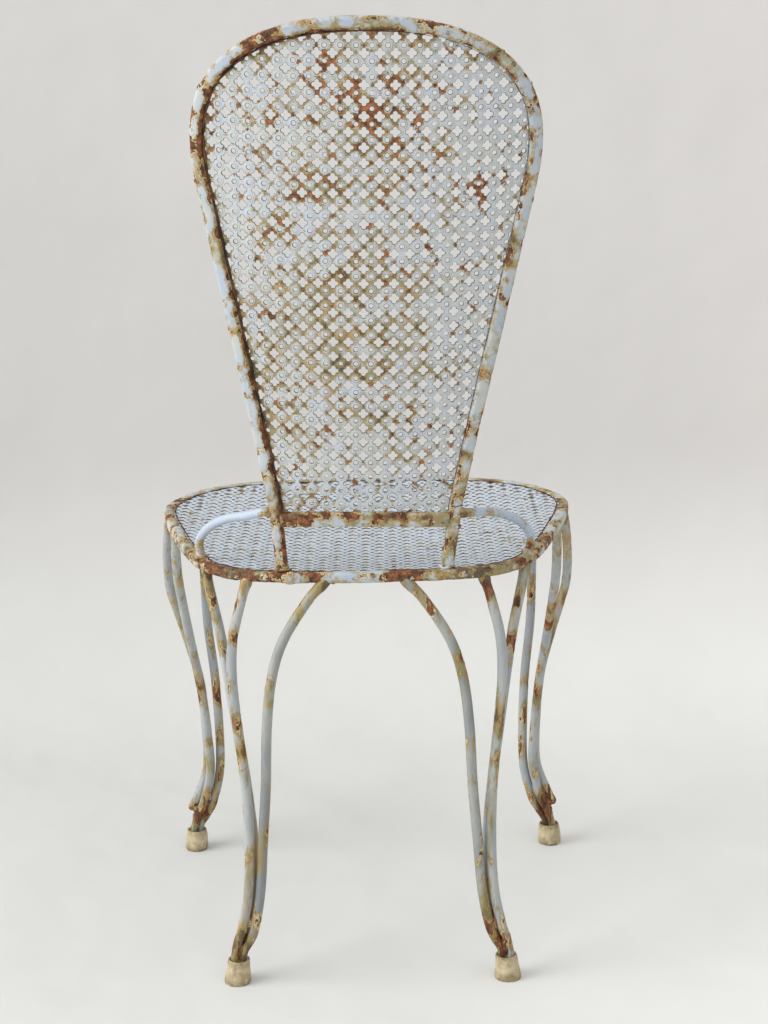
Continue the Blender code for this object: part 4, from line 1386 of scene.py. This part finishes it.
# %% Caps
REAR_CAP_PROFILE = [(13.1, 0), (13.6, 2.5), (12.9, 9), (11.8, 17), (11.2, 23.8), (10.8, 25)]
FRONT_CAP_PROFILE = [(12.0, 0), (12.9, 2.5), (13.2, 10), (12.6, 17), (11.5, 22.8), (11.0, 24)]
REAR_CAP_FOOT = (136.8, 13.9)
REAR_CAP_SHIFT = -1.9
FRONT_CAP_FOOT = (206.1, 366.0)
FRONT_CAP_SHIFT = -1.0
CAP_SOCKET_RADIUS = 9.3
CAP_SIDES = 40
CAP_SWELL = 0.012
CAP_CREAM = (0.55, 0.46, 0.29, 1)
CAP_DIRT = (0.20, 0.14, 0.065, 1)
CAP_PALE = (0.66, 0.58, 0.43, 1)


def make_cap_material():
    material, tree, shader = new_material("cap_rubber", 0.85)
    place = tree.place()
    height = tree.split(place)[2]
    dirt = (tree.noise(place, 9 * MM, 7.0, 0.62) + tree.step(height, 0.0, 12 * MM, 0.30, 0.0)
            + tree.step(height, 17 * MM, 26 * MM, 0.0, 0.25))
    colour = tree.blend(tree.step(dirt, 0.47, 0.86, 0.0, 0.9), CAP_CREAM, CAP_DIRT)
    pale = tree.step(tree.noise(place, 5 * MM, 4.0, 0.5), 0.55, 0.68, 0.0, 0.55)
    tree.join(tree.blend(pale, colour, CAP_PALE), shader["Base Color"])
    tree.join(tree.bump(0.6, 0.6 * MM, tree.noise(place, 2.5 * MM, 6.0, 0.6)), shader["Normal"])
    return material


cap_rubber = make_cap_material()


def cap_profile(profile):
    """A smooth outer wall, a rounded lip and the socket inside."""
    wall = smooth_curve([(r, z, 0) for r, z in profile], 1.5)
    height = profile[-1][1]
    lip = [(profile[-1][0] - 0.8, height), (CAP_SOCKET_RADIUS, height - 0.5)]
    return [(p.x, p.y) for p in wall] + lip + [(CAP_SOCKET_RADIUS, CAP_SOCKET_FLOOR)]


def add_cap(name, profile, foot, shift, mirror):
    height = profile[-1][1]
    rings = []
    for radius, z in cap_profile(profile):
        centre = foot[0] + shift * z / height
        ring = []
        for k in range(CAP_SIDES):
            turn = 2 * math.pi * k / CAP_SIDES
            swell = radius * (1 + CAP_SWELL * math.sin(3 * turn + mirror) - CAP_SWELL)
            x = mirror * (centre + swell * math.cos(turn))
            ring.append(seat_place(x, foot[1] + swell * math.sin(turn), z))
        rings.append(ring)
    mesh = skin_mesh(name, rings, False, cap_rubber)
    add_piece(name, mesh, [name.replace("_tip", "_foot_cap")])


for word, mirror in SIDES:
    add_cap("rear_" + word + "_tip", REAR_CAP_PROFILE, REAR_CAP_FOOT, REAR_CAP_SHIFT, mirror)
    add_cap("front_" + word + "_tip", FRONT_CAP_PROFILE, FRONT_CAP_FOOT, FRONT_CAP_SHIFT, mirror)
